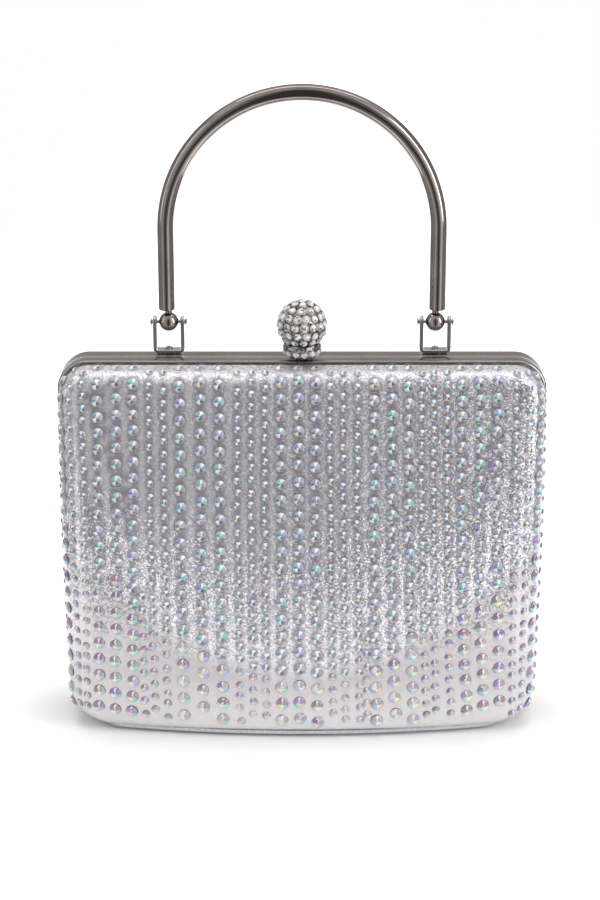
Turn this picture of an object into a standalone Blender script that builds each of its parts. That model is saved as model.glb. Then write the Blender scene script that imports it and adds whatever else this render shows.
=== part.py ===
# Evening clutch: a hard box clutch of two satin covered half shells in a nickel frame,
# hinged along the bottom, with a tube handle on swivel links and a stone paved ball clasp.
# X runs to the right, Y to the back and Z up. The front half lies at -Y, and the clutch
# stands on the plane Z = 0 with the seam between its halves in the plane Y = 0.

import math

import bmesh
import bpy
from mathutils import Matrix
from mathutils import Vector

MM = 0.001

# Clearances and overrun
FIT_GAP = 0.3 * MM          # between pieces that are glued, riveted or pressed together
SEAM_GAP = 0.15 * MM        # from the seam plane to each half of the frame
RUN_GAP = 0.35 * MM         # round anything that turns on a pin
CUT_OVERRUN = 1.0 * MM      # how far a cutter passes the piece it cuts
WELD_REACH = 0.001 * MM     # points nearer than this are one point

# Body outline
BODY_HEIGHT = 140 * MM      # ground to the top of the frame
FRAME_HALF_WIDTH = 89 * MM
FRAME_DEPTH = 7.2 * MM      # seam plane to the outer side of one frame half
FRAME_TOP_RADIUS = 11 * MM
FRAME_BOTTOM_RADIUS = 12 * MM
FRAME_FLANGE = 1.0 * MM     # thickness of the visible strip
FRAME_WEB = 0.9 * MM
FRAME_WEB_HEIGHT = 4.8 * MM
FRAME_EDGE = 1.2 * MM       # rounding of the strip towards the satin

# Half shells, measured on the satin
RIM_SETBACK = 1.2 * MM      # from the side of the frame to the rim of the satin
BODY_TAPER = 1.2 * MM         # what the half widths lose down to the ground
SHELF_STEP = 1.4 * MM       # satin lies this much below the frame top
SHELF_DROP = 0.6 * MM       # fall of the top shelf from rim to shoulder
SHOULDER_RADIUS = 6 * MM
FACE_TOP_DEPTH = 18 * MM
BELLY_DEPTH = 28.6 * MM     # deepest level of the face
BELLY_HEIGHT = 30 * MM
BASE_DEPTH = 26.8 * MM
BASE_EDGE_RADIUS = 1.4 * MM
SHELL_TOP_RADIUS = 11 * MM  # corners seen from the front
SHELL_BOTTOM_RADIUS = 11 * MM
CORNER_TOP_RADIUS = 8 * MM  # upright corners seen from above
CORNER_BASE_RADIUS = 13 * MM
SIDE_CROWN = 0.7 * MM       # how far the side walls swell past the rim
CROWN_RUN = 6 * MM
TOP_BOW_SHARE = 0.05        # bow of the face as a share of its depth
BASE_BOW_SHARE = 0.42
CORNER_DEPTH_SHARE = 0.8    # most of the depth at its corner that the corner may take
COVER_THICKNESS = 0.5 * MM
WALL_THICKNESS = 1.8 * MM
LINING_THICKNESS = 0.7 * MM

# Large rhinestones on the satin, in groups of three columns
RHINESTONE_PITCH = 6.1 * MM       # down a column
RHINESTONE_COLUMN_PITCH = 6.5 * MM
RHINESTONE_HEIGHT = 1.2 * MM
RHINESTONE_LEAN = 1.6 * MM        # how far its sides lean in
CORNER_ROOM = 8 * MM              # kept free of columns next to the rim
TOP_GROUP_SHARES = (-0.75, -0.41, -0.013, 0.36, 0.715)   # middles of the groups round the face,
BASE_GROUP_SHARES = (-0.79, -0.4, -0.007, 0.405, 0.775)  # as shares of the frame's half width
COLUMN_LINE_SHARES = (-1.5, -0.5, 0.5, 1.5)              # sides of the three columns of a group
ROW_ROOM_SHARE = 0.65                                    # of the pitch, the least room for a row

# Slip pocket on the rear lining
POCKET_THICKNESS = 0.6 * MM
POCKET_TOP = 92 * MM
POCKET_BOTTOM = 22 * MM

# Base pads
PAD_THICKNESS = 1.7 * MM
PAD_PROUD = 0.4 * MM
PAD_INNER = 4.5 * MM        # pad edge to the seam plane

# Bottom hinges
HINGE_SPACING = 96 * MM
HINGE_BARREL_RADIUS = 1.3 * MM
HINGE_PIN_RADIUS = 0.55 * MM
HINGE_KNUCKLE = 11 * MM
HINGE_LEAF_THICKNESS = 0.6 * MM
HINGE_LEAF_REACH = 6 * MM   # leaf edge to the hinge axis
HINGE_GROUND_GAP = 0.3 * MM

# Handle and links
HANDLE_RISE = 98.3 * MM       # frame top to the top of the arch
TUBE_RADIUS = 3.0 * MM
TUBE_END_RISE = 16.4 * MM     # frame top to the cut tube ends
LINK_SPACING = 97.2 * MM
LEG_SPREAD = 0.6 * MM       # the sprung arch holds each leg this far outside its ball
BALL_RISE = 11.9 * MM       # frame top to the link balls
BALL_RADIUS = 3.6 * MM
STUD_RADIUS = 1.3 * MM
STUD_LENGTH = 5.5 * MM      # inside the tube
LINK_PIN_RADIUS = 0.75 * MM
PIN_HEAD_RADIUS = 1.5 * MM
PIN_HEAD_HEIGHT = 0.8 * MM
HEAD_BEVEL = 0.27 * MM
STRAP_WIDTH = 11.5 * MM
STRAP_DEPTH = 4.5 * MM
STRAP_SHEET = 0.9 * MM
RIVET_RADIUS = 0.9 * MM

# Ball clasp
CLASP_BALL_RISE = 12.7 * MM     # frame top to the ball centre
CLASP_BALL_RADIUS = 8.0 * MM
STONE_PITCH = 2.8 * MM
STONE_HEIGHT = 0.7 * MM
STONE_SLOPE = 0.5 * MM          # how far a stone's sides lean in
STONE_SETTING = 0.4 * MM        # metal cup that holds the stones
BALL_STONE_ROWS = 7
BALL_CELL_SHARE = 0.8           # stones in a row, as a share of what the equator holds
COLLAR_RADIUS = 5.6 * MM
COLLAR_HEIGHT = 3.0 * MM
COLLAR_RISE = 0.8 * MM
COLLAR_BEVEL = 0.6 * MM
BALL_NECK_RADIUS = 2.8 * MM     # flat under the ball
STEM_RADIUS = 1.3 * MM
STEM_IN_BALL = 4 * MM
PIVOT_DROP = 3.6 * MM           # frame top to the lever pivot
PIVOT_PIN_RADIUS = 0.6 * MM
CLASP_SWING = math.radians(8)
HUB_RADIUS = 1.4 * MM
HUB_WIDTH = 3.0 * MM
ARM_THICKNESS = 1.0 * MM
ARM_SETBACK = 0.15 * MM         # from the end of the hub to the side of the arm
TOOTH_DROP = 0.6 * MM
TOOTH_LENGTH = 1.0 * MM
BRACKET_WIDTH = 12.4 * MM
BRACKET_SHEET = 0.7 * MM
BRACKET_DEPTH = 5.1 * MM
CHEEK_THICKNESS = 0.8 * MM
CHEEK_HEIGHT = 4.1 * MM
SPRING_WIRE_RADIUS = 0.2 * MM
SPRING_TURNS = 4
STRIKE_BAR = 1.0 * MM
STRIKE_WIDTH = 6.8 * MM

# Numbers of steps on curved surfaces
SHOULDER_STEPS = 3
FACE_STEPS = 4
TURN_IN_STEPS = 4
BASE_EDGE_STEPS = 2
FINE_STEPS = 24             # along a level that rhinestones are spaced on
TURN_IN_SPLIT = 2           # rows of the cover in one turn-in step of the shell
RIM_STRIPS = 7              # of the cover between its last column and its rim
FRONT_STEPS = 6
CORNER_STEPS = 3
OUTLINE_CORNER_STEPS = 5
OUTLINE_SIDE_STEPS = 4
ARCH_STEPS = 22
ROUND_STEPS = 16
SMALL_ROUND_STEPS = 10
BALL_STEPS = 12
SPRING_STEPS = 9            # in one turn of the spring

# Sizes worked out from those above
RIM_DEPTH = FRAME_DEPTH + FIT_GAP
SHELF_TOP = BODY_HEIGHT - SHELF_STEP
UNDERSIDE = PAD_THICKNESS + FIT_GAP
HINGE_HEIGHT = HINGE_GROUND_GAP + HINGE_BARREL_RADIUS
FRAME_BOTTOM = HINGE_HEIGHT + HINGE_BARREL_RADIUS + FIT_GAP
SHELL_INSET = COVER_THICKNESS + FIT_GAP
LINING_INSET = SHELL_INSET + WALL_THICKNESS + FIT_GAP
POCKET_INSET = LINING_INSET + LINING_THICKNESS + FIT_GAP
STRIP_MIDDLE = (SEAM_GAP + FRAME_DEPTH) / 2
LINK_HALF_SPACING = LINK_SPACING / 2
LINK_HEIGHT = BODY_HEIGHT + BALL_RISE
CLASP_HEIGHT = BODY_HEIGHT + CLASP_BALL_RISE
PIVOT_HEIGHT = BODY_HEIGHT - PIVOT_DROP
FLANGE_UNDER = BODY_HEIGHT - FRAME_FLANGE

FRONT = -1
REAR = 1


def clear_scene():
    for old in list(bpy.data.objects):
        bpy.data.objects.remove(old)
    for group in list(bpy.data.collections):
        bpy.data.collections.remove(group)


def new_collection(name):
    group = bpy.data.collections.new(name)
    bpy.context.scene.collection.children.link(group)
    return group


def make_material(name, colour, roughness, metallic):
    material = bpy.data.materials.new(name)
    material.use_nodes = True
    shader = material.node_tree.nodes["Principled BSDF"]
    shader.inputs["Base Color"].default_value = (*colour, 1.0)
    shader.inputs["Roughness"].default_value = roughness
    shader.inputs["Metallic"].default_value = metallic
    return material


clear_scene()
PARTS = new_collection("evening_clutch")
TOOLS = new_collection("evening_clutch_cutters")


def place(name, data, colour=(0.5, 0.5, 0.5), roughness=0.3, metallic=0.0):
    """A part's object with its own material."""
    part = bpy.data.objects.new(name, data)
    PARTS.objects.link(part)
    data.materials.clear()
    data.materials.append(make_material(name, colour, roughness, metallic))
    return part


def place_tool(name, data):
    """An object that only cuts or joins a part."""
    tool = bpy.data.objects.new(name, data)
    TOOLS.objects.link(tool)
    tool.hide_render = True
    tool.display_type = "WIRE"
    return tool


def combine(part, tool, operation):
    step = part.modifiers.new(tool.name, "BOOLEAN")
    step.operation = operation
    step.solver = "EXACT"
    step.object = tool


def smooth(data, angle=math.radians(35)):
    data.shade_smooth()
    data.set_sharp_from_angle(angle=angle)


NICKEL = {"colour": (0.56, 0.54, 0.52), "roughness": 0.16, "metallic": 1.0}
STEEL = {"colour": (0.62, 0.62, 0.62), "roughness": 0.3, "metallic": 1.0}
SATIN = {"colour": (0.62, 0.62, 0.65), "roughness": 0.38, "metallic": 0.3}
BOARD = {"colour": (0.16, 0.16, 0.17), "roughness": 0.7, "metallic": 0.0}
LINING = {"colour": (0.3, 0.3, 0.32), "roughness": 0.65, "metallic": 0.0}
CRYSTAL = {"colour": (0.85, 0.88, 0.92), "roughness": 0.05, "metallic": 0.0}
PAD = {"colour": (0.66, 0.66, 0.69), "roughness": 0.35, "metallic": 0.5}


# Primitive solids

def box_mesh(name, low, high):
    mesh = bpy.data.meshes.new(name)
    shape = bmesh.new()
    bmesh.ops.create_cube(shape, size=1.0)
    size = Vector(high) - Vector(low)
    middle = (Vector(high) + Vector(low)) / 2
    bmesh.ops.scale(shape, vec=size, verts=shape.verts)
    bmesh.ops.translate(shape, vec=middle, verts=shape.verts)
    shape.to_mesh(mesh)
    shape.free()
    return mesh


def rod_mesh(name, radius, start, end, steps=SMALL_ROUND_STEPS):
    """A closed cylinder between two points."""
    mesh = bpy.data.meshes.new(name)
    run = Vector(end) - Vector(start)
    middle = (Vector(end) + Vector(start)) / 2
    turn = run.to_track_quat("Z", "Y").to_matrix().to_4x4()
    shape = bmesh.new()
    bmesh.ops.create_cone(
        shape, cap_ends=True, segments=steps, radius1=radius, radius2=radius,
        depth=run.length, matrix=Matrix.Translation(middle) @ turn)
    shape.to_mesh(mesh)
    shape.free()
    return mesh


def turned_mesh(name, outline, closed=False):
    """The upright half outline of a turned piece, as radius and height points."""
    mesh = bpy.data.meshes.new(name)
    points = [(radius, 0, height) for radius, height in outline]
    edges = [(i, i + 1) for i in range(len(points) - 1)]
    if closed:
        edges.append((len(points) - 1, 0))
    mesh.from_pydata(points, edges, [])
    return mesh


def add_screw(part, steps):
    turn = part.modifiers.new("turn", "SCREW")
    turn.axis = "Z"
    turn.angle = math.tau
    turn.steps = steps
    turn.render_steps = steps
    turn.use_merge_vertices = True
    turn.merge_threshold = WELD_REACH
    turn.use_smooth_shade = True


def outline_curve(name, loops, thickness):
    """A flat outline, with any holes, filled and given half its thickness each way."""
    curve = bpy.data.curves.new(name, "CURVE")
    curve.dimensions = "2D"
    curve.fill_mode = "BOTH"
    curve.extrude = thickness / 2
    for loop in loops:
        spline = curve.splines.new("POLY")
        spline.points.add(len(loop) - 1)
        for point, (x, y) in zip(spline.points, loop):
            point.co = (x, y, 0, 1)
        spline.use_cyclic_u = True
    return curve


def solid_from_curve(part):
    """Swaps a curve object for a welded mesh object, so that it can be cut."""
    graph = bpy.context.evaluated_depsgraph_get()
    mesh = bpy.data.meshes.new_from_object(part.evaluated_get(graph))
    shape = bmesh.new()
    shape.from_mesh(mesh)
    bmesh.ops.remove_doubles(shape, verts=shape.verts, dist=WELD_REACH)
    shape.to_mesh(mesh)
    shape.free()
    name = part.name
    home = part.users_collection[0]
    part.name = name + "_curve"
    solid = bpy.data.objects.new(name, mesh)
    solid.matrix_world = part.matrix_world.copy()
    solid.hide_render = part.hide_render
    solid.display_type = part.display_type
    home.objects.link(solid)
    bpy.data.objects.remove(part)
    return solid


def circle_points(x, y, radius, steps=SMALL_ROUND_STEPS):
    turns = [math.tau * i / steps for i in range(steps)]
    return [(x + radius * math.cos(a), y + radius * math.sin(a)) for a in turns]


def rectangle_points(x0, y0, x1, y1):
    return [(x0, y0), (x1, y0), (x1, y1), (x0, y1)]


# Across YZ, an outline's own x becomes Y, its y becomes Z and its thickness lies along X.
ACROSS_X = (math.pi / 2, 0, math.pi / 2)
# Across XZ, an outline's own x stays X, its y becomes Z and its thickness lies along Y.
ACROSS_Y = (math.pi / 2, 0, 0)
# A turned piece laid along X
ALONG_X = (0, math.pi / 2, 0)


# The half shell's surface

def blend(start, end, share):
    return start + (end - start) * share


def face_profile(inset, face_steps=FACE_STEPS, turn_in_steps=TURN_IN_STEPS):
    """Depth and height down the middle of the face, from the top rim to the bottom rim."""
    shoulder_depth = FACE_TOP_DEPTH - SHOULDER_RADIUS
    shoulder_height = SHELF_TOP - SHELF_DROP - SHOULDER_RADIUS
    shoulder_radius = SHOULDER_RADIUS - inset
    edge_radius = max(BASE_EDGE_RADIUS - inset, FIT_GAP)
    edge_height = UNDERSIDE + inset + edge_radius
    points = [(RIM_DEPTH, SHELF_TOP - inset)]
    for i in range(SHOULDER_STEPS + 1):
        turn = math.pi / 2 * i / SHOULDER_STEPS
        points.append((shoulder_depth + shoulder_radius * math.sin(turn),
                       shoulder_height + shoulder_radius * math.cos(turn)))
    for i in range(1, face_steps + 1):
        share = i / face_steps
        points.append((blend(FACE_TOP_DEPTH, BELLY_DEPTH, math.sin(math.pi / 2 * share)) - inset,
                       blend(shoulder_height, BELLY_HEIGHT, share)))
    for i in range(1, turn_in_steps + 1):
        share = i / turn_in_steps
        points.append((blend(BELLY_DEPTH, BASE_DEPTH, share ** 2) - inset,
                       blend(BELLY_HEIGHT, edge_height, math.sin(math.pi / 2 * share))))
    for i in range(1, BASE_EDGE_STEPS + 1):
        turn = math.pi / 2 * i / BASE_EDGE_STEPS
        points.append((BASE_DEPTH - inset - edge_radius * (1 - math.cos(turn)),
                       edge_height - edge_radius * math.sin(turn)))
    points.append((RIM_DEPTH, UNDERSIDE + inset))
    return points


def upright_half_width(height, half_width, top, bottom, top_radius, bottom_radius):
    """Half width at a height of an upright outline with curved sides and rounded corners."""
    width = half_width - BODY_TAPER * (1 - height / BODY_HEIGHT) ** 2
    rise = min(max(height - (top - top_radius), 0), top_radius)
    fall = min(max((bottom + bottom_radius) - height, 0), bottom_radius)
    width -= top_radius - math.sqrt(top_radius ** 2 - rise ** 2)
    width -= bottom_radius - math.sqrt(bottom_radius ** 2 - fall ** 2)
    return width


def rim_half_width(height, inset):
    return upright_half_width(
        height, FRAME_HALF_WIDTH - RIM_SETBACK - inset, SHELF_TOP - inset, UNDERSIDE + inset,
        SHELL_TOP_RADIUS - inset, SHELL_BOTTOM_RADIUS - inset)


def side_width(rim_width, depth):
    share = min(max((depth - RIM_DEPTH) / CROWN_RUN, 0), 1)
    return rim_width + SIDE_CROWN * math.sin(math.pi / 2 * share)


def level_section(rim_width, depth, height, inset, corner_steps=CORNER_STEPS, front_steps=FRONT_STEPS):
    """X and depth points of one level section, from the left rim round to the right rim."""
    share = height / BODY_HEIGHT
    bow = blend(BASE_BOW_SHARE, TOP_BOW_SHARE, share)
    radius = blend(CORNER_BASE_RADIUS, CORNER_TOP_RADIUS, share) - inset
    reach = depth - RIM_DEPTH
    full_width = side_width(rim_width, depth)
    radius = min(radius, reach * (1 - bow) * CORNER_DEPTH_SHARE)
    edge = full_width - radius
    edge_depth = RIM_DEPTH + reach * (1 - bow * (edge / full_width) ** 2)
    slope = -2 * bow * reach * edge / full_width ** 2
    tip = (full_width, edge_depth + slope * radius)
    side_depth = tip[1] - radius
    start = (edge, edge_depth)
    end = (side_width(rim_width, side_depth), side_depth)
    half = []
    for i in range(corner_steps + 1):
        turn = math.pi / 2 * i / corner_steps
        out = 1 - math.sin(turn)
        down = 1 - math.cos(turn)
        half.append((tip[0] + (start[0] - tip[0]) * out + (end[0] - tip[0]) * down,
                     tip[1] + (start[1] - tip[1]) * out + (end[1] - tip[1]) * down))
    middle_depth = (side_depth + RIM_DEPTH) / 2
    half.append((side_width(rim_width, middle_depth), middle_depth))
    half.append((rim_width, RIM_DEPTH))
    front = []
    for i in range(1, front_steps):
        x = blend(-edge, edge, i / front_steps)
        front.append((x, RIM_DEPTH + reach * (1 - bow * (x / full_width) ** 2)))
    left = [(-x, d) for x, d in reversed(half)]
    return left + front + half


def surface_rows(inset):
    rows = []
    for depth, height in face_profile(inset):
        rim_width = rim_half_width(height, inset)
        rows.append([(x, d, height) for x, d in level_section(rim_width, depth, height, inset)])
    return rows


def skin_mesh(name, outer_rows, inner_rows, side):
    """A closed skin between two surfaces through rows of points, on one side of the seam."""
    mesh = bpy.data.meshes.new(name)
    shape = bmesh.new()

    def face(*corners):
        shape.faces.new(corners if side == FRONT else reversed(corners))

    outer = [[shape.verts.new((x, side * d, z)) for x, d, z in row] for row in outer_rows]
    inner = [[shape.verts.new((x, side * d, z)) for x, d, z in row] for row in inner_rows]
    last = len(outer[0]) - 1
    for j in range(len(outer) - 1):
        for i in range(last):
            face(outer[j][i], outer[j + 1][i], outer[j + 1][i + 1], outer[j][i + 1])
            face(inner[j][i], inner[j][i + 1], inner[j + 1][i + 1], inner[j + 1][i])
        face(outer[j][0], inner[j][0], inner[j + 1][0], outer[j + 1][0])
        face(outer[j][last], outer[j + 1][last], inner[j + 1][last], inner[j][last])
    for i in range(last):
        face(outer[0][i], outer[0][i + 1], inner[0][i + 1], inner[0][i])
        face(outer[-1][i], inner[-1][i], inner[-1][i + 1], outer[-1][i + 1])
    bmesh.ops.remove_doubles(shape, verts=shape.verts, dist=WELD_REACH)
    shape.to_mesh(mesh)
    shape.free()
    smooth(mesh)
    return mesh


def runs_along(line):
    runs = [0]
    for start, end in zip(line, line[1:]):
        runs.append(runs[-1] + math.dist(start, end))
    return runs


def points_along(line, places):
    """Points of a broken line at the given distances from its start."""
    runs = runs_along(line)
    points = []
    for place in places:
        k = 1
        while k < len(runs) - 1 and runs[k] < place:
            k += 1
        share = (place - runs[k - 1]) / max(runs[k] - runs[k - 1], WELD_REACH)
        points.append(tuple(blend(a, b, share) for a, b in zip(line[k - 1], line[k])))
    return points


def jewelled_profile():
    """The face's profile in steps of about one rhinestone, and the numbers of those that hold one."""
    fall = SHELF_TOP - SHELF_DROP - SHOULDER_RADIUS - BELLY_HEIGHT
    profile = face_profile(0, round(fall / RHINESTONE_PITCH), TURN_IN_STEPS * TURN_IN_SPLIT)
    rows = []
    for j in range(SHOULDER_STEPS + 1, len(profile) - 1 - BASE_EDGE_STEPS):
        if math.dist(profile[j], profile[j + 1]) > RHINESTONE_PITCH * ROW_ROOM_SHARE:
            rows.append(j)
    return profile, rows


def column_places(height, half_run):
    """Distances round a level from its middle to the sides of the columns, out to both rims."""
    share = height / BODY_HEIGHT
    lines = []
    for base_share, top_share in zip(BASE_GROUP_SHARES, TOP_GROUP_SHARES):
        middle = blend(base_share, top_share, share) * FRAME_HALF_WIDTH
        lines.extend(middle + RHINESTONE_COLUMN_PITCH * line_share for line_share in COLUMN_LINE_SHARES)
    squeeze = min(1, (half_run - CORNER_ROOM) / max(lines[-1], -lines[0]))
    lines = [line * squeeze for line in lines]
    left = [blend(-half_run, lines[0], i / RIM_STRIPS) for i in range(RIM_STRIPS)]
    right = [blend(half_run, lines[-1], i / RIM_STRIPS) for i in reversed(range(RIM_STRIPS))]
    return left + lines + right


def join_lines(shape, first, second):
    """Triangles between two lines of points that start and end side by side."""
    first_runs = runs_along([point.co for point in first])
    second_runs = runs_along([point.co for point in second])
    i = 0
    j = 0
    while i < len(first) - 1 or j < len(second) - 1:
        second_ended = j == len(second) - 1
        first_next = i < len(first) - 1 and (
            second_ended or first_runs[i + 1] / first_runs[-1] <= second_runs[j + 1] / second_runs[-1])
        if first_next:
            shape.faces.new((first[i], second[j], first[i + 1]))
            i += 1
        else:
            shape.faces.new((first[i], second[j], second[j + 1]))
            j += 1


def make_cover(name, side):
    """Satin over one shell, with its large rhinestones raised on the outer side."""
    mesh = bpy.data.meshes.new(name)
    shape = bmesh.new()
    profile, stone_rows = jewelled_profile()
    outer = []
    for depth, height in profile:
        section = level_section(rim_half_width(height, 0), depth, height, 0, FINE_STEPS, FINE_STEPS)
        half_run = runs_along(section)[-1] / 2
        places = [half_run + place for place in column_places(height, half_run)]
        outer.append([shape.verts.new((x, side * d, height)) for x, d in points_along(section, places)])
    inner = [[shape.verts.new((x, side * d, z)) for x, d, z in row] for row in surface_rows(COVER_THICKNESS)]

    def face(*corners):
        return shape.faces.new(corners if side == FRONT else reversed(corners))

    for j in range(len(inner) - 1):
        for i in range(len(inner[0]) - 1):
            face(inner[j][i], inner[j][i + 1], inner[j + 1][i + 1], inner[j + 1][i])
    lines_in_group = len(COLUMN_LINE_SHARES)
    last_line = len(TOP_GROUP_SHARES) * lines_in_group - 1
    stone_faces = []
    for j in range(len(outer) - 1):
        for i in range(len(outer[0]) - 1):
            cell = face(outer[j][i], outer[j + 1][i], outer[j + 1][i + 1], outer[j][i + 1])
            column = i - RIM_STRIPS
            in_group = 0 <= column < last_line and column % lines_in_group < lines_in_group - 1
            if j in stone_rows and in_group:
                stone_faces.append(cell)
    for end in (0, -1):
        join_lines(shape, outer[end], inner[end])
        join_lines(shape, [row[end] for row in outer], [row[end] for row in inner])
    bmesh.ops.remove_doubles(shape, verts=shape.verts, dist=WELD_REACH)
    bmesh.ops.recalc_face_normals(shape, faces=shape.faces)
    bmesh.ops.inset_individual(shape, faces=stone_faces, thickness=RHINESTONE_LEAN,
                               depth=RHINESTONE_HEIGHT, use_even_offset=True)
    shape.to_mesh(mesh)
    shape.free()
    smooth(mesh)
    place(name, mesh, **SATIN)


def make_half_skins(side, word):
    make_cover(word + "_cover", side)
    layers = (
        ("shell", SHELL_INSET, WALL_THICKNESS, BOARD),
        ("lining", LINING_INSET, LINING_THICKNESS, LINING),
    )
    for layer, inset, thickness, finish in layers:
        name = word + "_" + layer
        mesh = skin_mesh(name, surface_rows(inset), surface_rows(inset + thickness), side)
        place(name, mesh, **finish)


def pocket_rows(inset):
    rows = []
    for depth, height in face_profile(inset):
        if not POCKET_BOTTOM < height < POCKET_TOP:
            continue
        section = level_section(rim_half_width(height, inset), depth, height, inset)
        middle = len(section) // 2
        reach = FRONT_STEPS // 2
        row = section[middle - reach:middle + reach + 1]
        rows.append([(x, d, height) for x, d in row])
    return rows


def make_slip_pocket():
    """A flat pocket panel that follows the rear lining."""
    mesh = skin_mesh("slip_pocket", pocket_rows(POCKET_INSET),
                     pocket_rows(POCKET_INSET + POCKET_THICKNESS), REAR)
    place("slip_pocket", mesh, **LINING)


# Frame

def frame_outline(inset):
    """X and height points round the upright frame, counterclockwise seen from the front."""
    top = BODY_HEIGHT - inset
    bottom = FRAME_BOTTOM + inset
    top_radius = FRAME_TOP_RADIUS - inset
    bottom_radius = FRAME_BOTTOM_RADIUS - inset
    heights = []
    for i in range(OUTLINE_CORNER_STEPS + 1):
        turn = math.pi / 2 * i / OUTLINE_CORNER_STEPS
        heights.append(bottom + bottom_radius * (1 - math.cos(turn)))
    for i in range(1, OUTLINE_SIDE_STEPS):
        heights.append(blend(bottom + bottom_radius, top - top_radius, i / OUTLINE_SIDE_STEPS))
    for i in range(OUTLINE_CORNER_STEPS + 1):
        turn = math.pi / 2 * i / OUTLINE_CORNER_STEPS
        heights.append(top - top_radius * (1 - math.sin(turn)))
    right = []
    for height in heights:
        right.append((upright_half_width(height, FRAME_HALF_WIDTH - inset, top, bottom,
                                         top_radius, bottom_radius), height))
    return right + [(-x, height) for x, height in reversed(right)]


def frame_mesh(name, side):
    """An angle strip that runs round the rim: a visible flange and a web behind the satin."""
    edge_softening = FRAME_EDGE * (1 - math.sqrt(1 / 2))
    section = (
        (0, SEAM_GAP),
        (0, FRAME_DEPTH - FRAME_EDGE),
        (edge_softening, FRAME_DEPTH - edge_softening),
        (FRAME_EDGE, FRAME_DEPTH),
        (FRAME_WEB_HEIGHT, FRAME_DEPTH),
        (FRAME_WEB_HEIGHT, FRAME_DEPTH - FRAME_WEB),
        (FRAME_FLANGE, FRAME_DEPTH - FRAME_WEB),
        (FRAME_FLANGE, SEAM_GAP),
    )
    mesh = bpy.data.meshes.new(name)
    shape = bmesh.new()
    rings = []
    for inset, depth in section:
        rings.append([shape.verts.new((x, side * depth, z)) for x, z in frame_outline(inset)])
    for ring, following in zip(rings, rings[1:] + rings[:1]):
        count = len(ring)
        for i in range(count):
            j = (i + 1) % count
            corners = [ring[i], ring[j], following[j], following[i]]
            if side == FRONT:
                corners.reverse()
            shape.faces.new(corners)
    shape.to_mesh(mesh)
    shape.free()
    smooth(mesh)
    return mesh


def make_frames():
    front = place("front_frame", frame_mesh("front_frame", FRONT), **NICKEL)
    rear = place("rear_frame", frame_mesh("rear_frame", REAR), **NICKEL)
    combine(front, stem_slot_tool("front_frame_slot", BODY_HEIGHT, FLANGE_UNDER), "DIFFERENCE")
    for word, sign in (("left", -1), ("right", 1)):
        x = sign * LINK_HALF_SPACING
        hole = rod_mesh("hole", RIVET_RADIUS + FIT_GAP, (x, STRIP_MIDDLE, FLANGE_UNDER - CUT_OVERRUN),
                        (x, STRIP_MIDDLE, BODY_HEIGHT + CUT_OVERRUN))
        combine(rear, place_tool(word + "_rivet_hole", hole), "DIFFERENCE")


def stem_slot_tool(name, top, bottom):
    """A cutter for the slot in which the clasp stem rocks forwards."""
    swing = (top - PIVOT_HEIGHT) * math.sin(CLASP_SWING)
    half = STEM_RADIUS + RUN_GAP
    low = (-half, -STRIP_MIDDLE - half - swing, bottom - CUT_OVERRUN)
    high = (half, -STRIP_MIDDLE + half, top + CUT_OVERRUN)
    return place_tool(name, box_mesh(name, low, high))


# Base pads

def make_base_pads():
    rim_width = rim_half_width(UNDERSIDE, 0) + PAD_PROUD
    outline = level_section(rim_width, BASE_DEPTH + PAD_PROUD, 0, 0)
    for word, side in (("front", FRONT), ("rear", REAR)):
        loop = [(outline[0][0], side * PAD_INNER)]
        loop += [(x, side * depth) for x, depth in outline]
        loop.append((outline[-1][0], side * PAD_INNER))
        pad = place(word + "_base_pad", outline_curve(word + "_base_pad", [loop], PAD_THICKNESS), **PAD)
        pad.location.z = PAD_THICKNESS / 2


# Bottom hinges

def knuckle_loops(side):
    """A knuckle ring with the tab that joins it to its leaf, and the bore for the pin."""
    tab_top = HINGE_BARREL_RADIUS
    tab_bottom = HINGE_BARREL_RADIUS - HINGE_LEAF_THICKNESS
    start = math.asin(tab_bottom / HINGE_BARREL_RADIUS)
    ring = []
    for i in range(ROUND_STEPS + 1):
        turn = blend(math.pi / 2, math.tau + start, i / ROUND_STEPS)
        ring.append((side * HINGE_BARREL_RADIUS * math.cos(turn), HINGE_BARREL_RADIUS * math.sin(turn)))
    tab_end = side * (HINGE_BARREL_RADIUS + 2 * RUN_GAP + HINGE_LEAF_THICKNESS)
    loop = ring + [(tab_end, tab_bottom), (tab_end, tab_top)]
    return [loop, circle_points(0, 0, HINGE_PIN_RADIUS + RUN_GAP)]


def make_knuckle(name, side, x, width):
    knuckle = place_tool(name, outline_curve(name, knuckle_loops(side), width))
    knuckle.location = (x, 0, HINGE_HEIGHT)
    knuckle.rotation_euler = ACROSS_X
    bpy.context.view_layer.update()
    return solid_from_curve(knuckle)


def make_hinge(word, x):
    pitch = HINGE_KNUCKLE + FIT_GAP
    half_length = (3 * HINGE_KNUCKLE + 2 * FIT_GAP) / 2
    leaf_top = HINGE_HEIGHT + HINGE_BARREL_RADIUS
    leaf_bottom = leaf_top - HINGE_LEAF_THICKNESS
    inner = HINGE_BARREL_RADIUS + 2 * RUN_GAP
    for half, side, places in (("front", FRONT, (0,)), ("rear", REAR, (-1, 1))):
        name = word + "_hinge_" + half + "_leaf"
        near = min(side * inner, side * HINGE_LEAF_REACH)
        far = max(side * inner, side * HINGE_LEAF_REACH)
        plate = box_mesh(name, (x - half_length, near, leaf_bottom), (x + half_length, far, leaf_top))
        leaf = place(name, plate, **STEEL)
        for step in places:
            knuckle = make_knuckle(name + "_knuckle_" + str(step + 2), side, x + step * pitch, HINGE_KNUCKLE)
            combine(leaf, knuckle, "UNION")
    pin = rod_mesh(word + "_hinge_pin", HINGE_PIN_RADIUS,
                   (x - half_length, 0, HINGE_HEIGHT), (x + half_length, 0, HINGE_HEIGHT))
    place(word + "_hinge_pin", pin, **STEEL)


# Handle and its links

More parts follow.
